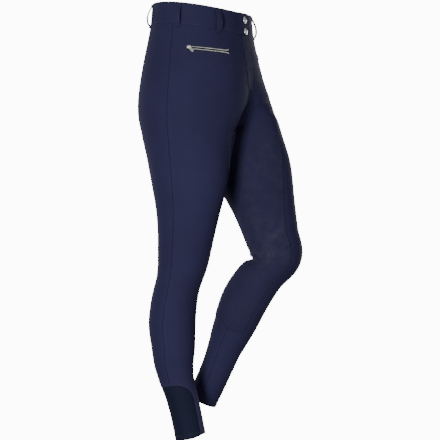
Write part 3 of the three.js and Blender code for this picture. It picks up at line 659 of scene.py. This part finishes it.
def grip_patch(side, material):
    """Suede-like patch laid over the inseam, its edges pressed down to the panels, with a painted
    highlight on the knee and down the thigh, mottled like rubbed suede."""
    down = np.concatenate([[0, 0.0025, 0.006, 0.012], np.linspace(0.02, 0.99, 150), [0.995, 1.0]])[:, None]
    edge = np.array([0, 0.0075, 0.02])
    halves = (("front", np.concatenate([edge, np.linspace(0.045, 1, 26)])[None, :]),
              ("back", np.concatenate([np.linspace(1, 0.05, 24)[1:], edge[::-1]])[None, :]))

    def at(lift):
        grids = []
        for part, across in halves:
            away = np.minimum(across * PATCH_WIDTH, np.minimum(down, 1 - down) * PATCH_LENGTH)
            height = lift + SEAM_GAP + PATCH_CLOTH - 0.55 * bell(away, 1.6)
            grids.append(patch_point(side, part, across, down, height))
        return np.concatenate(grids, 1)
    # Painted highlight on the knee and down the thigh, mottled like rubbed suede
    knee = bell(down - 0.62, 0.10) + 0.6 * bell(down - 0.34, 0.13)
    cloth_piece(f"grip_patch_{side['name']}", at, material, PATCH_CLOTH,
                0.08 + 0.75 * knee,
                [f"inner_patch_{side['name']}"])


def band_lift(side, row, distance, past):
    """Waistband's relief: folded edges, a soft middle and a pressed end. The right end lies on the
    left one."""
    down = row * BAND_HEIGHT
    edge = np.minimum(down, BAND_HEIGHT - down)
    swell = 0.35 * np.sin(np.pi * np.clip(row, 0, 1)) ** 2
    groove = -0.3 * bell(edge - BAND_INSET, 0.9)
    lap = LAP_RISE * (1 - smooth((distance - LAP_FLAT) / (LAP_RAMP - LAP_FLAT))) * (side is RIGHT)
    return lap + swell + groove - seam_roll(edge, 0.8, 0.9) - seam_roll(distance + past, 0.8, 1.2)


def half_round(row):
    """Distance from the front middle to the back middle at a row of the waist."""
    return rib_length("front", row) + rib_length("back", row)


def fit_row(row, distance):
    """Distances given for the band's middle row, stretched so that each row reaches the back middle."""
    return distance * np.where(distance > 0, half_round(row) / half_round(0.5), 1)


def waistband(side, past, material):
    """Half of the waistband, from past the front middle to the back middle."""
    total = float(half_round(0.5))
    distance = np.concatenate([
        -past + np.array([0, 0.5, 1.2, 2.2]), np.arange(-past + 4, total - 3, 4.0),
        total - np.array([2.5, 1.5, 0.8, 0.16])])[None, :]
    row = np.concatenate([[0, 0.01, 0.025], np.linspace(0.05, 0.95, 19), [0.975, 0.988, 0.997]])[:, None]
    distance = fit_row(row, distance)
    relief = band_lift(side, row, distance, past)
    wear_and_highlight = 0.7 * bell(row * BAND_HEIGHT, 2)
    cloth_piece(f"band_{side['name']}", lambda lift: waist_point(side, row, distance, relief + lift),
                material, BAND_CLOTH, wear_and_highlight,
                [f"waistband_{side['name']}"])


def allowance(name, at, material):
    """Seam allowance: a strip pressed flat against the inside, over the seam. at gives its points for
    a lift from the cloth's outer face."""
    cloth_piece(name, lambda lift: at(lift - (CLOTH + ALLOWANCE_GAP)), material, ALLOWANCE_CLOTH)


def seam_strip(name, edges, rows, at_side, material, deeper=0.0):
    """Strip over the seam of two edges, each given as side, part and its distances from the seam."""
    row = np.linspace(*rows)[:, None]

    def at(lift):
        grids = []
        for side, part, away in edges:
            share = away / rib_length(part, row)
            grids.append(worn(side, part, row, share if at_side else 1 - share, lift - deeper))
        return np.concatenate(grids, 1)
    allowance(name, at, material)


def seam_allowances(material):
    """Allowances of the side seams, inseams, waist seam and middle seams, and a tab over the point
    where the four panels meet."""
    away = np.linspace(0, ALLOWANCE_HALF, 4)[None, :] + 0.05
    deeper = BAND_CLOTH - CLOTH
    for side in SIDES:
        edges = ((side, "front", away[:, ::-1]), (side, "back", away[:, 1:]))
        for name, rows in (("side", (WAIST + 0.03, float(row_at(ARCH_TOP)) - 0.03, 220)),
                           ("inner", (FORK + 0.04, HEM - 0.02, 220))):
            seam_strip(f"{name}_seam_{side['name']}", edges, rows, name == "side", material)
        row = np.linspace(0.87, 1.13, 7)[:, None]
        distance = fit_row(row, np.arange(0.5, half_round(0.5) - 0.5, 5.0)[None, :])
        allowance(f"waist_seam_{side['name']}",
                  lambda lift: waist_point(side, row, distance, lift - deeper), material)
    middle = (WAIST + 0.03, FORK - 0.02, 160)
    for name, part, rows, more in (("front_middle", "front", middle, 0), ("back_middle", "back", middle, 0),
                                   ("band_back", "back", (0.02, 0.86, 160), deeper)):
        edges = ((RIGHT, part, away[:, ::-1]), (LEFT, part, away))
        seam_strip(f"{name}_seam", edges, rows, False, material, more)

    fork = worn(RIGHT, "front", FORK, 1.0)
    spread = np.linspace(-CROTCH_TAB_HALF, CROTCH_TAB_HALF, 5)
    across, along = np.meshgrid(spread, fork[1] + spread)
    allowance("crotch_tab", lambda lift: np.stack([across, along, fork[2] - lift + 0 * along], -1), material)


def fly_flap(material):
    """Flap of cloth over the fly: straight down from the waist seam, its lower corner rounded
    towards the right."""
    across = np.concatenate([[0, 0.03, 0.07], np.linspace(0.14, 0.86, 12), [0.93, 0.97, 1]])[None, :]
    down = np.concatenate([[0, 0.01, 0.02], np.linspace(0.04, 0.96, 36), [0.985, 1]])[:, None]
    distance = FLY_LEFT + (FLY_RIGHT - FLY_LEFT) * across
    end = FLY_END - FLY_CORNER * across**2.4
    row = FLY_START + (end - FLY_START) * down
    away = np.minimum(np.minimum(across, 1 - across) * (FLY_RIGHT - FLY_LEFT), (1 - down) * FLY_LENGTH)
    relief = SEAM_GAP + FLAP_CLOTH - 0.5 * bell(away, 1.2) - 0.25 * bell(away - 3.2, 1)
    wear_and_highlight = 0.8 * bell(distance - FLY_RIGHT, 2.5) + 0.25
    cloth_piece("fly", lambda lift: waist_point(RIGHT, row, distance, relief + lift), material,
                FLAP_CLOTH, wear_and_highlight, ["fly_flap"])


def loop_grid(side, name, extra):
    """Belt loop: a strip whose height above the band follows a spline, slightly cupped across."""
    part, share = LOOPS[name]
    t = np.linspace(0, len(LOOP_ROWS) - 1, 44)
    row = np.interp(t, np.arange(len(LOOP_ROWS)), LOOP_ROWS)[:, None]
    lift = np.maximum(natural_spline(LOOP_LIFTS, t), LOOP_LIFTS[0])[:, None]
    half = LOOP_WIDTH / 2 / rib_length(part, np.minimum(row, WAIST))
    size = np.abs(LOOP_COLUMNS)
    relief = -0.35 * size**12 - 0.18 * bell(size - 0.66, 0.12)
    return worn(side, part, row, share + half * LOOP_COLUMNS, lift + LOOP_CLOTH + relief + extra)


def belt_loop(side, name, material):
    """One belt loop, rubbed along its edges."""
    wear_and_highlight = 0.5 * np.abs(np.linspace(-1, 1, LOOP_COLUMNS.size)) ** 6
    cloth_piece(f"loop_{name}_{side['name']}", lambda lift: loop_grid(side, name, lift), material,
                LOOP_CLOTH, wear_and_highlight, [f"belt_loop_{name}_{side['name']}"])


def zip_point(side, t, across, lift):
    """Point of the pocket zip: t along it, across towards the waist."""
    t, across, lift = np.broadcast_arrays(np.asarray(t, float), across, lift)
    row = ZIP_START[0] + (ZIP_END[0] - ZIP_START[0]) * t
    share = ZIP_START[1] + (ZIP_END[1] - ZIP_START[1]) * t
    step = worn(side, "front", row, share) - worn(side, "front", row - 0.05, share)
    per_row = np.linalg.norm(step, axis=-1)
    return worn(side, "front", row - 0.05 * across / per_row, share, lift)


def zip_length(side):
    ends = zip_point(side, np.array([0.0, 1.0]), 0, 0)
    return float(np.linalg.norm(ends[1] - ends[0]))


def zip_tape(side, material):
    """Zip tape let into the pocket mouth, ribbed along its edges."""
    t = np.linspace(0, 1, 60)[:, None]
    across = np.array([-1, -0.92, -0.8, -0.62, -0.55, -0.2, 0, 0.2, 0.55, 0.62, 0.8, 0.92, 1])[None, :]
    relief = SEAM_GAP + ZIP_TAPE_CLOTH - 0.25 * (np.abs(across) < 0.3) - 0.15 * (np.abs(across) > 0.95)
    cloth_piece(f"tape_{side['name']}",
                lambda lift: zip_point(side, t, across * ZIP_TAPE_WIDTH / 2, relief + lift), material,
                ZIP_TAPE_CLOTH,
                nodes=[f"zip_tape_{side['name']}"])


def blocks(name, centre, along, across, up, half, taper):
    """Many small blocks in one mesh. Each has a full foot and a top drawn in by taper.

    centre, along, across and up hold one row for each block; half is its half length, half width
    and height.
    """
    square = np.array([[-1, -1], [1, -1], [1, 1], [-1, 1]], float)
    corners = np.concatenate([np.column_stack([square * size, np.full(4, height)])
                              for size, height in ((1, 0), (1, 0.6), (taper, 1))]) * half
    points = (centre[:, None, :] + corners[None, :, 0, None] * along[:, None, :]
              + corners[None, :, 1, None] * across[:, None, :] + corners[None, :, 2, None] * up[:, None, :])
    faces = np.concatenate([[[3, 2, 1, 0], [8, 9, 10, 11]], tube_faces(3, 4)])
    if np.dot(np.cross(along[0], across[0]), up[0]) < 0:
        faces = faces[:, ::-1]
    faces = (faces[None] + len(corners) * np.arange(len(centre))[:, None, None]).reshape(-1, 4)
    return mesh_object(name, points.reshape(-1, 3), faces.tolist())


def unit(vectors):
    return vectors / np.linalg.norm(vectors, axis=-1, keepdims=True)


def zip_teeth(side, sign, name, material):
    """One row of teeth, set side by side along the tape and leaning a little."""
    length = zip_length(side)
    first = (ZIP_SLIDER_LENGTH + 1 + SEAM_GAP * 2) / length
    t = np.arange(first + 0.6 / length, 1, TOOTH_PITCH / length)
    middle = sign * (TEETH_OFFSET + TEETH_SPLAY * smooth((t - 0.9) / 0.1))
    foot = SEAM_GAP + ZIP_TAPE_CLOTH + 0.15
    centre = zip_point(side, t, middle, foot)
    along = unit(zip_point(side, t + 0.004, middle, foot) - centre)
    up = unit(zip_point(side, t, middle, foot + 1) - centre)
    across = unit(zip_point(side, t, middle + 1, foot) - centre)
    lean = unit(along + TOOTH_LEAN * sign * across)
    row = blocks(f"teeth_{name}_{side['name']}", centre, lean, across, up, TOOTH_SIZE, TOOTH_TAPER)
    dress(row, material, nodes=[f"zip_teeth_{name}_{side['name']}"])


def soft_metal(node, name, body, material):
    """The node's own shape with its edges rounded."""
    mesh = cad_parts[node].data.copy()
    mesh.name = name
    obj = bpy.data.objects.new(name, mesh)
    bpy.context.collection.objects.link(obj)
    joined = obj.modifiers.new("Joined faces", "WELD")
    joined.merge_threshold = 0.00001
    edges = obj.modifiers.new("Rounded edges", "BEVEL")
    edges.width = 0.00025
    edges.segments = 2
    edges.limit_method = "ANGLE"
    edges.angle_limit = math.radians(35)
    dress(obj, material, body, [node])


# Snap cap's profile: radius and height shares from the rim to the middle
SNAP_PROFILE = [
    (0.94, 0.00), (1.00, 0.10), (1.00, 0.24), (0.96, 0.32), (0.90, 0.34), (0.86, 0.30), (0.83, 0.32),
    (0.78, 0.50), (0.66, 0.71), (0.50, 0.87), (0.30, 0.96), (0.12, 1.00)]


def snap_cap(node, row, material):
    """Domed cap with a rolled rim: the profile turned about the cap's axis."""
    seat = LAP_RISE + SEAM_GAP
    origin = waist_point(RIGHT, row, SNAP_DISTANCE, seat)
    along = unit(waist_point(RIGHT, row, SNAP_DISTANCE + 4, seat) - origin)
    out = waist_point(RIGHT, row, SNAP_DISTANCE, seat + 4) - origin
    out = unit(out - along * np.dot(out, along))
    turns = 48
    angle = np.arange(turns) * 2 * math.pi / turns
    ring = np.cos(angle)[:, None] * along + np.sin(angle)[:, None] * np.cross(out, along)
    radius, height = np.array(SNAP_PROFILE).T[:, :, None, None]
    points = origin + SNAP_RADIUS * radius * ring[None] + SNAP_HEIGHT * height * out[None, None]
    points = np.concatenate([points.reshape(-1, 3), [origin + out * SNAP_HEIGHT, origin]])
    levels = len(SNAP_PROFILE)
    top, base, last = levels * turns, levels * turns + 1, (levels - 1) * turns
    faces = tube_faces(levels, turns).tolist()
    faces += [[last + j, last + (j + 1) % turns, top] for j in range(turns)]
    faces += [[(j + 1) % turns, j, base] for j in range(turns)]
    dress(mesh_object(node.replace("snap_", "snap_cap_"), points, faces), material, nodes=[node])


def stitch_row(line, above, pitch=STITCH_PITCH, length=STITCH_LENGTH, radius=STITCH_RADIUS):
    """A row of stitches along a line of close points.

    Each stitch is a five-sided spindle: its rings lie at shares of its length, with radius
    r sin(pi s)^0.5 and a middle that rises out of the cloth. above holds the line moved out by 1 mm.
    """
    run = np.concatenate([[0], np.cumsum(np.linalg.norm(np.diff(line, axis=0), axis=1))])
    start = np.arange(pitch / 2, run[-1] - length, pitch)
    share = np.array([0.0, 0.12, 0.35, 0.65, 0.88, 1.0])
    at = start[:, None] + length * share[None, :]
    centre, higher = (np.stack([np.interp(at, run, values[:, k]) for k in range(3)], -1)
                      for values in (line, above))
    up = unit(higher - centre)
    along = unit(centre[:, -1] - centre[:, 0])[:, None, :]
    across = unit(np.cross(up, along))
    size = radius * np.sqrt(np.sin(np.pi * np.clip(share, 0.02, 0.98)))[None, :, None, None]
    centre = centre + up * (0.7 * radius * np.sin(np.pi * share)[None, :, None])
    angle = np.arange(5) * 2 * math.pi / 5
    ring = np.cos(angle)[:, None] * across[:, :, None, :] + np.sin(angle)[:, None] * up[:, :, None, :]
    points = centre[:, :, None, :] + size * ring
    rings = len(share)
    sides = tube_faces(rings, 5)[:, [0, 3, 2, 1]]
    ends = np.array([[0, 1, 2, 3, 4], (rings - 1) * 5 + np.array([4, 3, 2, 1, 0])])
    base = 5 * rings * np.arange(len(start))[:, None, None]
    faces = (sides[None] + base).reshape(-1, 4).tolist() + (ends[None] + base).reshape(-1, 5).tolist()
    return points.reshape(-1, 3), faces


def stitching(name, lines, material, **sizes):
    """All rows of one sewing job in one mesh. lines holds pairs of a line and the line above it."""
    points, faces, count = [], [], 0
    for line, above in lines:
        more, squares = stitch_row(line, above, **sizes)
        points.append(more)
        faces += [[vertex + count for vertex in face] for face in squares]
        count += len(more)
    dress(mesh_object(name, np.concatenate(points), faces), material)


def band_stitching(side, past, material):
    """Rows under the band's top edge, above its seam and down its end."""
    start = -past + BAND_INSET
    along = np.arange(start, half_round(0.5) - 1, 0.8)
    inset = BAND_INSET / BAND_HEIGHT
    places = [(row, fit_row(row, along)) for row in (inset, 1 - inset)]
    if side is RIGHT:
        places.append((np.linspace(3.6 / BAND_HEIGHT, 1 - 3.6 / BAND_HEIGHT, 60), np.full(60, start)))
    lines = [with_outside(lambda lift: waist_point(side, *place, lift + band_lift(side, *place, past)))
             for place in places]
    stitching(f"band_stitches_{side['name']}", lines, material)


def fly_stitching(material):
    """Two rows down the fly's right edge, curving in under its end."""
    bow = np.linspace(0, math.pi / 2, 40)
    straight = np.linspace(WAIST + 0.05, FLY_END - FLY_BOW_ROWS, 200)
    height = SEAM_GAP + FLAP_CLOTH - 0.2
    lines = []
    for inset in (3.2, 9.0):
        row = np.concatenate([straight, straight[-1] + (FLY_BOW_ROWS - inset / FLY_ROW_HEIGHT) * np.sin(bow)])
        reach = FLY_RIGHT - inset
        distance = np.concatenate([np.full(200, reach), 1 + (reach - 1) * np.cos(bow)])
        lines.append(with_outside(lambda lift: waist_point(RIGHT, row, distance, lift + height)))
    stitching("fly_stitches", lines, material)


def loop_stitching(side, material, tack_material):
    """Rows along both edges of each belt loop, and close bar tacks across its ends."""
    rows, tacks = [], []
    for name in LOOPS:
        grids = with_outside(lambda lift: loop_grid(side, name, lift))
        for outer, inner in ((2, 3), (8, 7)):
            rows.append([0.7 * grid[2:-2, outer] + 0.3 * grid[2:-2, inner] for grid in grids])
        tacks += [[grid[i, 1:-1] for grid in grids] for i in (1, 2, -3, -2)]
    stitching(f"loop_stitches_{side['name']}", rows, material, pitch=2.8, length=2.1, radius=0.26)
    stitching(f"loop_tacks_{side['name']}", tacks, tack_material, pitch=1.2, length=1.1, radius=0.34)


def hem_stitching(side, material):
    """Two rows round each hem."""
    share = np.linspace(0.01, 0.99, 240)
    lines = [with_outside(lambda lift: worn(side, part, row_at(HEM_Z + height), share, lift + 0.30))
             for height in (7.5, 11.0) for part in ("front", "back")]
    stitching(f"hem_stitches_{side['name']}", lines, material)


def arch_stitching(side, material):
    """Two rows along the arched seam on the main cloth."""
    angle = np.linspace(0, math.pi / 2, 90)
    low = np.linspace(ARCH_TOP - ARCH_DROP, HEM_Z + HEM_TURNING, 140)[1:]
    lines = []
    for inset in (2.2, 6.0):
        for part in ("front", "back"):
            step, share = arch_curve(part, angle)
            row = row_at(np.concatenate([ARCH_TOP + inset - step * (ARCH_DROP + inset), low]))
            share = np.concatenate([share, np.full(len(low), ARCH_SHARE[part])])
            share = share * (1 + inset / (ARCH_SHARE[part] * rib_length(part, row)))
            lines.append(with_outside(
                lambda lift: worn(side, part, row, np.clip(share, 0.002, 1), lift - STITCH_SUNK)))
    stitching(f"arch_stitches_{side['name']}", lines, material)


def patch_stitching(side, material):
    """Two rows inside the patch's edge: down both sides, along the foot and along the top."""
    height = SEAM_GAP + PATCH_CLOTH - STITCH_SUNK
    lines = []
    for inset in (2.6, 6.4):
        outer, foot = inset / PATCH_WIDTH, 1 - inset / PATCH_LENGTH
        top = inset / PATCH_TOP_LENGTH + 0.004
        down = np.linspace(inset / PATCH_LENGTH + 0.004, foot, 900)
        across = np.linspace(outer, 1, 160)
        lines += [with_outside(lambda lift: patch_point(side, part, *place, lift + height))
                  for part in ("front", "back") for place in ((outer, down), (across, foot), (across, top))]
    stitching(f"patch_stitches_{side['name']}", lines, material)


def zip_stitching(side, material):
    """A row round the pocket mouth."""
    margin = 2.5 / zip_length(side)
    half = ZIP_TAPE_WIDTH / 2 + 2.0
    t = np.linspace(-margin, 1 + margin, 260)
    across = np.linspace(-half, half, 40)
    lines = [with_outside(lambda lift: zip_point(side, *place, lift))
             for place in ((t, half), (t, -half), (t[0], across), (t[-1], across))]
    stitching(f"zip_stitches_{side['name']}", lines, material)


def middle_stitching(material):
    """A row beside the front middle seam below the fly, and beside the back middle seam."""
    lines = []
    for part, top, count in (("front", FLY_END + 0.1, 300), ("back", WAIST + 0.05, 500)):
        row = np.linspace(top, FORK - 0.4, count)
        share = 1 - 4.5 / rib_length(part, row)
        lines.append(with_outside(lambda lift: worn(RIGHT, part, row, share, lift)))
    stitching("middle_stitches", lines, material)


def set_inputs(tree, node, inputs):
    """Sets a node's inputs to values, or links them to other nodes' sockets."""
    for label, value in inputs.items():
        if isinstance(value, bpy.types.NodeSocket):
            tree.links.new(value, node.inputs[label])
        else:
            node.inputs[label].default_value = value


def add_node(tree, kind, inputs):
    node = tree.nodes.new("ShaderNode" + kind)
    set_inputs(tree, node, inputs)
    return node


def shader_group(name, inputs, outputs):
    """An empty node group with named sockets: its tree, its incoming sockets and its output node.

    inputs maps a name to a starting value, or to None for a vector.
    """
    tree = bpy.data.node_groups.new(name, "ShaderNodeTree")
    for label, value in inputs.items():
        kind = "NodeSocketVector" if value is None else "NodeSocketFloat"
        socket = tree.interface.new_socket(label, in_out="INPUT", socket_type=kind)
        if value is not None:
            socket.default_value = value
    for label in outputs:
        tree.interface.new_socket(label, in_out="OUTPUT", socket_type="NodeSocketFloat")
    return tree, tree.nodes.new("NodeGroupInput").outputs, tree.nodes.new("NodeGroupOutput")


def math_node(tree, operation, *values):
    node = add_node(tree, "Math", dict(enumerate(values)))
    node.operation = operation
    return node.outputs[0]


def spread_range(tree, value, **limits):
    """Value moved from one range to another. limits name the ends that aren't 0 or 1."""
    ends = {label.replace("_", " ").title(): number for label, number in limits.items()}
    return add_node(tree, "MapRange", {"Value": value, **ends}).outputs["Result"]


def weave_group():
    """Fine diagonal cloth: two crossed sets of threads, sin x times sin y, roughened by noise."""
    tree, into, out = shader_group(
        "Cloth weave", {"Vector": None, "Threads per metre": 900.0, "Fuzz": 0.5}, ["Height"])
    turn = add_node(tree, "VectorRotate", {"Vector": into["Vector"], "Angle": math.radians(32)})
    turn.rotation_type = "Z_AXIS"
    parts = add_node(tree, "SeparateXYZ", {"Vector": turn.outputs["Vector"]})
    waves = []
    for axis in ("X", "Y"):
        scaled = math_node(tree, "MULTIPLY", parts.outputs[axis], into["Threads per metre"])
        waves.append(math_node(tree, "SINE", math_node(tree, "MULTIPLY", scaled, 2 * math.pi)))
    threads = math_node(tree, "MULTIPLY", *waves)
    noise = add_node(tree, "TexNoise", {"Vector": into["Vector"], "Scale": into["Threads per metre"],
                                        "Detail": 4})
    fuzz = math_node(tree, "MULTIPLY", noise.outputs["Fac"], into["Fuzz"])
    height = math_node(tree, "ADD", math_node(tree, "MULTIPLY", threads, 0.35), fuzz)
    set_inputs(tree, out, {"Height": height})
    return tree


def mottle_group():
    """Uneven colour: large soft clouds, broken up by a finer grain where the cloth is painted lighter for
    wear, and for a painted highlight on the grip patch.
    """
    tree, into, out = shader_group(
        "Worn mottle", {"Vector": None, "Wear and highlight": 0.0, "Cloud scale": 9.0, "Grain scale": 90.0},
        ["Clouds", "Lighter for wear and highlight"])
    large, fine = (
        add_node(tree, "TexNoise", {"Vector": into["Vector"], "Scale": into[label], "Detail": detail,
                                    "Roughness": 0.6}).outputs["Fac"]
        for label, detail in (("Cloud scale", 3), ("Grain scale", 6)))
    clouds = spread_range(tree, large, from_min=0.3, from_max=0.7)
    patchy = spread_range(tree, fine, from_min=0.38, from_max=0.68)
    lighter_for_wear_and_highlight = math_node(tree, "MULTIPLY", math_node(tree, "MULTIPLY", patchy, clouds), into["Wear and highlight"])
    set_inputs(tree, out, {"Clouds": clouds, "Lighter for wear and highlight": lighter_for_wear_and_highlight})
    return tree


WEAVE = weave_group()
MOTTLE = mottle_group()


def place_group(tree, group, inputs):
    node = add_node(tree, "Group", {})
    node.node_tree = group
    set_inputs(tree, node, inputs)
    return node.outputs


def mix_colour(tree, factor, first, second):
    """Colour between two others. Each may be a socket or four numbers."""
    node = add_node(tree, "Mix", {})
    node.data_type = "RGBA"
    set_inputs(tree, node, {"Factor": factor, 6: first, 7: second})
    return node.outputs[2]


def new_surface(name, inputs):
    """A new material, its tree, its surface shader with inputs set, and its texture coordinates."""
    material = bpy.data.materials.new(name)
    material.use_nodes = True
    tree = material.node_tree
    surface = tree.nodes["Principled BSDF"]
    set_inputs(tree, surface, inputs)
    return material, tree, surface, add_node(tree, "TexCoord", {}).outputs


def finish_surface(tree, surface, colour, rough_at, rough, height, strength, distance):
    """Links a surface's colour, its roughness over a range, and the relief that height gives."""
    roughness = spread_range(tree, rough_at, to_min=rough[0], to_max=rough[1])
    bump = add_node(tree, "Bump", {"Height": height, "Strength": strength, "Distance": distance})
    set_inputs(tree, surface, {
        "Base Color": colour, "Roughness": roughness, "Normal": bump.outputs["Normal"]})


def cloth_material(name, dark, light, lighter_for_wear_and_highlight, roughness, sheen, threads, bump, wear_and_highlight_share=1.0, grain=90.0,
                   specular=0.35):
    """Matt cloth: clouds of two near shades, a lighter shade painted where it is worn and as a painted
    highlight on the grip patch, woven relief.
    """
    material, tree, surface, place = new_surface(name, {
        "Sheen Weight": sheen, "Sheen Roughness": 0.45, "Specular IOR Level": specular,
        "Sheen Tint": (*[min(1, 6 * c) for c in light], 1)})
    # How much lighter each point is painted: wear along edges, and on the grip patch a painted highlight
    wear_and_highlight_here = add_node(tree, "Attribute", {})
    wear_and_highlight_here.attribute_name = "wear_and_highlight"
    mottle = place_group(tree, MOTTLE, {
        "Vector": place["Object"], "Wear and highlight": wear_and_highlight_here.outputs["Fac"], "Grain scale": grain})
    colour = mix_colour(tree, mottle["Clouds"], (*dark, 1), (*light, 1))
    amount = math_node(tree, "MULTIPLY", mottle["Lighter for wear and highlight"], wear_and_highlight_share)
    weave = place_group(tree, WEAVE, {"Vector": place["UV"], "Threads per metre": threads})
    finish_surface(tree, surface, mix_colour(tree, amount, colour, (*lighter_for_wear_and_highlight, 1)), mottle["Clouds"],
                   (roughness - 0.05, roughness + 0.06), weave["Height"], bump, 0.0003)
    return material


def thread_material(name, colour):
    """Twisted sewing thread: fine slanting bands over a plain colour."""
    material, tree, surface, place = new_surface(name, {"Sheen Weight": 0.1})
    bands = add_node(tree, "TexWave", {"Vector": place["Object"], "Scale": 700, "Distortion": 1.5})
    bands.bands_direction = "DIAGONAL"
    twist = bands.outputs["Fac"]
    shade = mix_colour(tree, twist, (*[0.6 * c for c in colour], 1), (*colour, 1))
    finish_surface(tree, surface, shade, twist, (0.5, 0.7), twist, 0.3, 0.0001)
    return material


def metal_material(name, colour, roughness):
    """Plated metal, a little duller where it is handled, with hairline scratches."""
    material, tree, surface, place = new_surface(name, {"Metallic": 1})
    mottle = place_group(tree, MOTTLE, {
        "Vector": place["Object"], "Wear and highlight": 1.0, "Cloud scale": 160.0, "Grain scale": 900.0})
    shade = mix_colour(tree, mottle["Lighter for wear and highlight"], (*colour, 1), (*[0.72 * c for c in colour], 1))
    stretch = add_node(tree, "Mapping", {"Vector": place["Object"], "Scale": (4000, 600, 600)})
    lines = add_node(tree, "TexNoise", {"Vector": stretch.outputs["Vector"], "Scale": 1})
    finish_surface(tree, surface, shade, mottle["Clouds"], (roughness, roughness + 0.16),
                   lines.outputs["Fac"], 0.12, 0.00005)
    return material


NAVY = cloth_material("Navy stretch cloth", (0.020, 0.019, 0.062), (0.028, 0.026, 0.078),
                      (0.055, 0.053, 0.120), roughness=0.84, sheen=0.05, threads=1100.0, bump=0.35,
                      wear_and_highlight_share=0.5, specular=0.20)
# The grip suede's lighter shade is the painted highlight on the knee and thigh, mottled like rubbed suede
SUEDE = cloth_material("Grip suede", (0.021, 0.020, 0.059), (0.029, 0.027, 0.073), (0.085, 0.083, 0.110),
                       roughness=0.88, sheen=0.15, threads=2200.0, bump=0.5, wear_and_highlight_share=0.6, grain=55.0,
                       specular=0.15)
JERSEY = cloth_material("Ankle jersey", (0.009, 0.011, 0.030), (0.012, 0.015, 0.037), (0.026, 0.028, 0.052),
                        roughness=0.75, sheen=0.05, threads=1400.0, bump=0.4, specular=0.12)
TAPE = cloth_material("Zip tape", (0.006, 0.007, 0.012), (0.009, 0.010, 0.016), (0.02, 0.02, 0.03),
                      roughness=0.85, sheen=0.1, threads=2000.0, bump=0.5)
THREAD = thread_material("Navy thread", (0.045, 0.050, 0.105))
DARK_THREAD = thread_material("Dark thread", (0.012, 0.013, 0.026))
PATCH_THREAD = thread_material("Patch thread", (0.027, 0.026, 0.072))
SILVER = metal_material("Silver plate", (0.90, 0.90, 0.92), 0.20)
TEETH = metal_material("Silver teeth", (0.92, 0.92, 0.94), 0.50)


def make_breeches():
    for side in SIDES:
        for part in ("front", "back"):
            main_panel(side, part, NAVY)
        ankle_panel(side, JERSEY)
        grip_patch(side, SUEDE)
        past = TAB if side is RIGHT else UNDERLAP
        waistband(side, past, NAVY)
        band_stitching(side, past, THREAD)
        for name in LOOPS:
            belt_loop(side, name, NAVY)
        loop_stitching(side, THREAD, DARK_THREAD)
        hem_stitching(side, THREAD)
        arch_stitching(side, THREAD)
        patch_stitching(side, PATCH_THREAD)
        zip_tape(side, TAPE)
        zip_stitching(side, THREAD)
        for sign, name in ((1, "upper"), (-1, "lower")):
            zip_teeth(side, sign, name, TEETH)
        soft_metal(f"zip_slider_{side['name']}", f"slider_{side['name']}", BODY, SILVER)
        soft_metal(f"zip_pull_{side['name']}", f"pull_tab_{side['name']}", f"pull_{side['name']}", SILVER)
    seam_allowances(NAVY)
    fly_flap(NAVY)
    fly_stitching(THREAD)
    middle_stitching(THREAD)
    for node, row in SNAP_ROWS.items():
        snap_cap(node, row, SILVER)


def look_along(obj, direction):
    obj.rotation_mode = "QUATERNION"
    obj.rotation_quaternion = Vector(direction).to_track_quat("-Z", "Y")


def make_camera():
    """Level camera whose picture has MM_PER_PIXEL at the breeches' middle."""
    a = math.radians(VIEW_AZIMUTH)
    right = Vector((math.cos(a), math.sin(a), 0))
    back = Vector((math.sin(a), -math.cos(a), 0))
    camera = bpy.data.objects.new("Camera", bpy.data.cameras.new("Camera"))
    bpy.context.collection.objects.link(camera)
    camera.data.sensor_width = SENSOR
    camera.data.lens = SENSOR * VIEW_DISTANCE / MM_PER_PIXEL / PHOTO_WIDTH
    camera.data.clip_end = 100
    camera.location = (right * AIM_ACROSS + back * VIEW_DISTANCE + Vector((0, 0, AIM_HEIGHT))) * MM
    look_along(camera, -back)
    bpy.context.scene.camera = camera
    return right, back


# Soft lights: name, across to the camera's right, towards the camera, height, size, watts, all in metres
LIGHTS = [
    ("Key", -0.9, 3.0, -0.2, 0.7, 74),
    ("Fill", 2.2, 2.2, -0.4, 1.6, 11),
    ("Top", 0.0, 0.8, 2.0, 1.4, 5),
    ("Back left", -2.0, -2.2, 0.2, 1.4, 26),
    ("Back right", 1.6, -2.5, 0.2, 1.4, 48),
]
BACKDROP_SEEN = 12.0
BACKDROP_MIRRORED = 0.25
BACKDROP_LIGHT = 0.10


def make_studio(right, back):
    """White surroundings that look brighter than they light, and soft lamps."""
    world = bpy.data.worlds.new("Studio")
    world.use_nodes = True
    tree = world.node_tree
    backdrop = tree.nodes["Background"]
    backdrop.inputs["Color"].default_value = (1, 1, 1, 1)
    rays = tree.nodes.new("ShaderNodeLightPath")
    seen = math_node(tree, "MULTIPLY", rays.outputs["Is Camera Ray"], BACKDROP_SEEN - BACKDROP_LIGHT)
    mirrored = math_node(tree, "MULTIPLY", rays.outputs["Is Glossy Ray"], BACKDROP_MIRRORED - BACKDROP_LIGHT)
    more = math_node(tree, "ADD", seen, mirrored)
    tree.links.new(math_node(tree, "ADD", more, BACKDROP_LIGHT), backdrop.inputs["Strength"])
    bpy.context.scene.world = world
    middle = Vector((0, 0, AIM_HEIGHT * MM))
    for name, across, towards, height, size, watts in LIGHTS:
        lamp = bpy.data.objects.new(name, bpy.data.lights.new(name, "AREA"))
        lamp.data.size = size
        lamp.data.energy = watts
        lamp.location = middle + right * across + back * towards + Vector((0, 0, height))
        look_along(lamp, middle - lamp.location)
        bpy.context.collection.objects.link(lamp)


make_breeches()
make_studio(*make_camera())
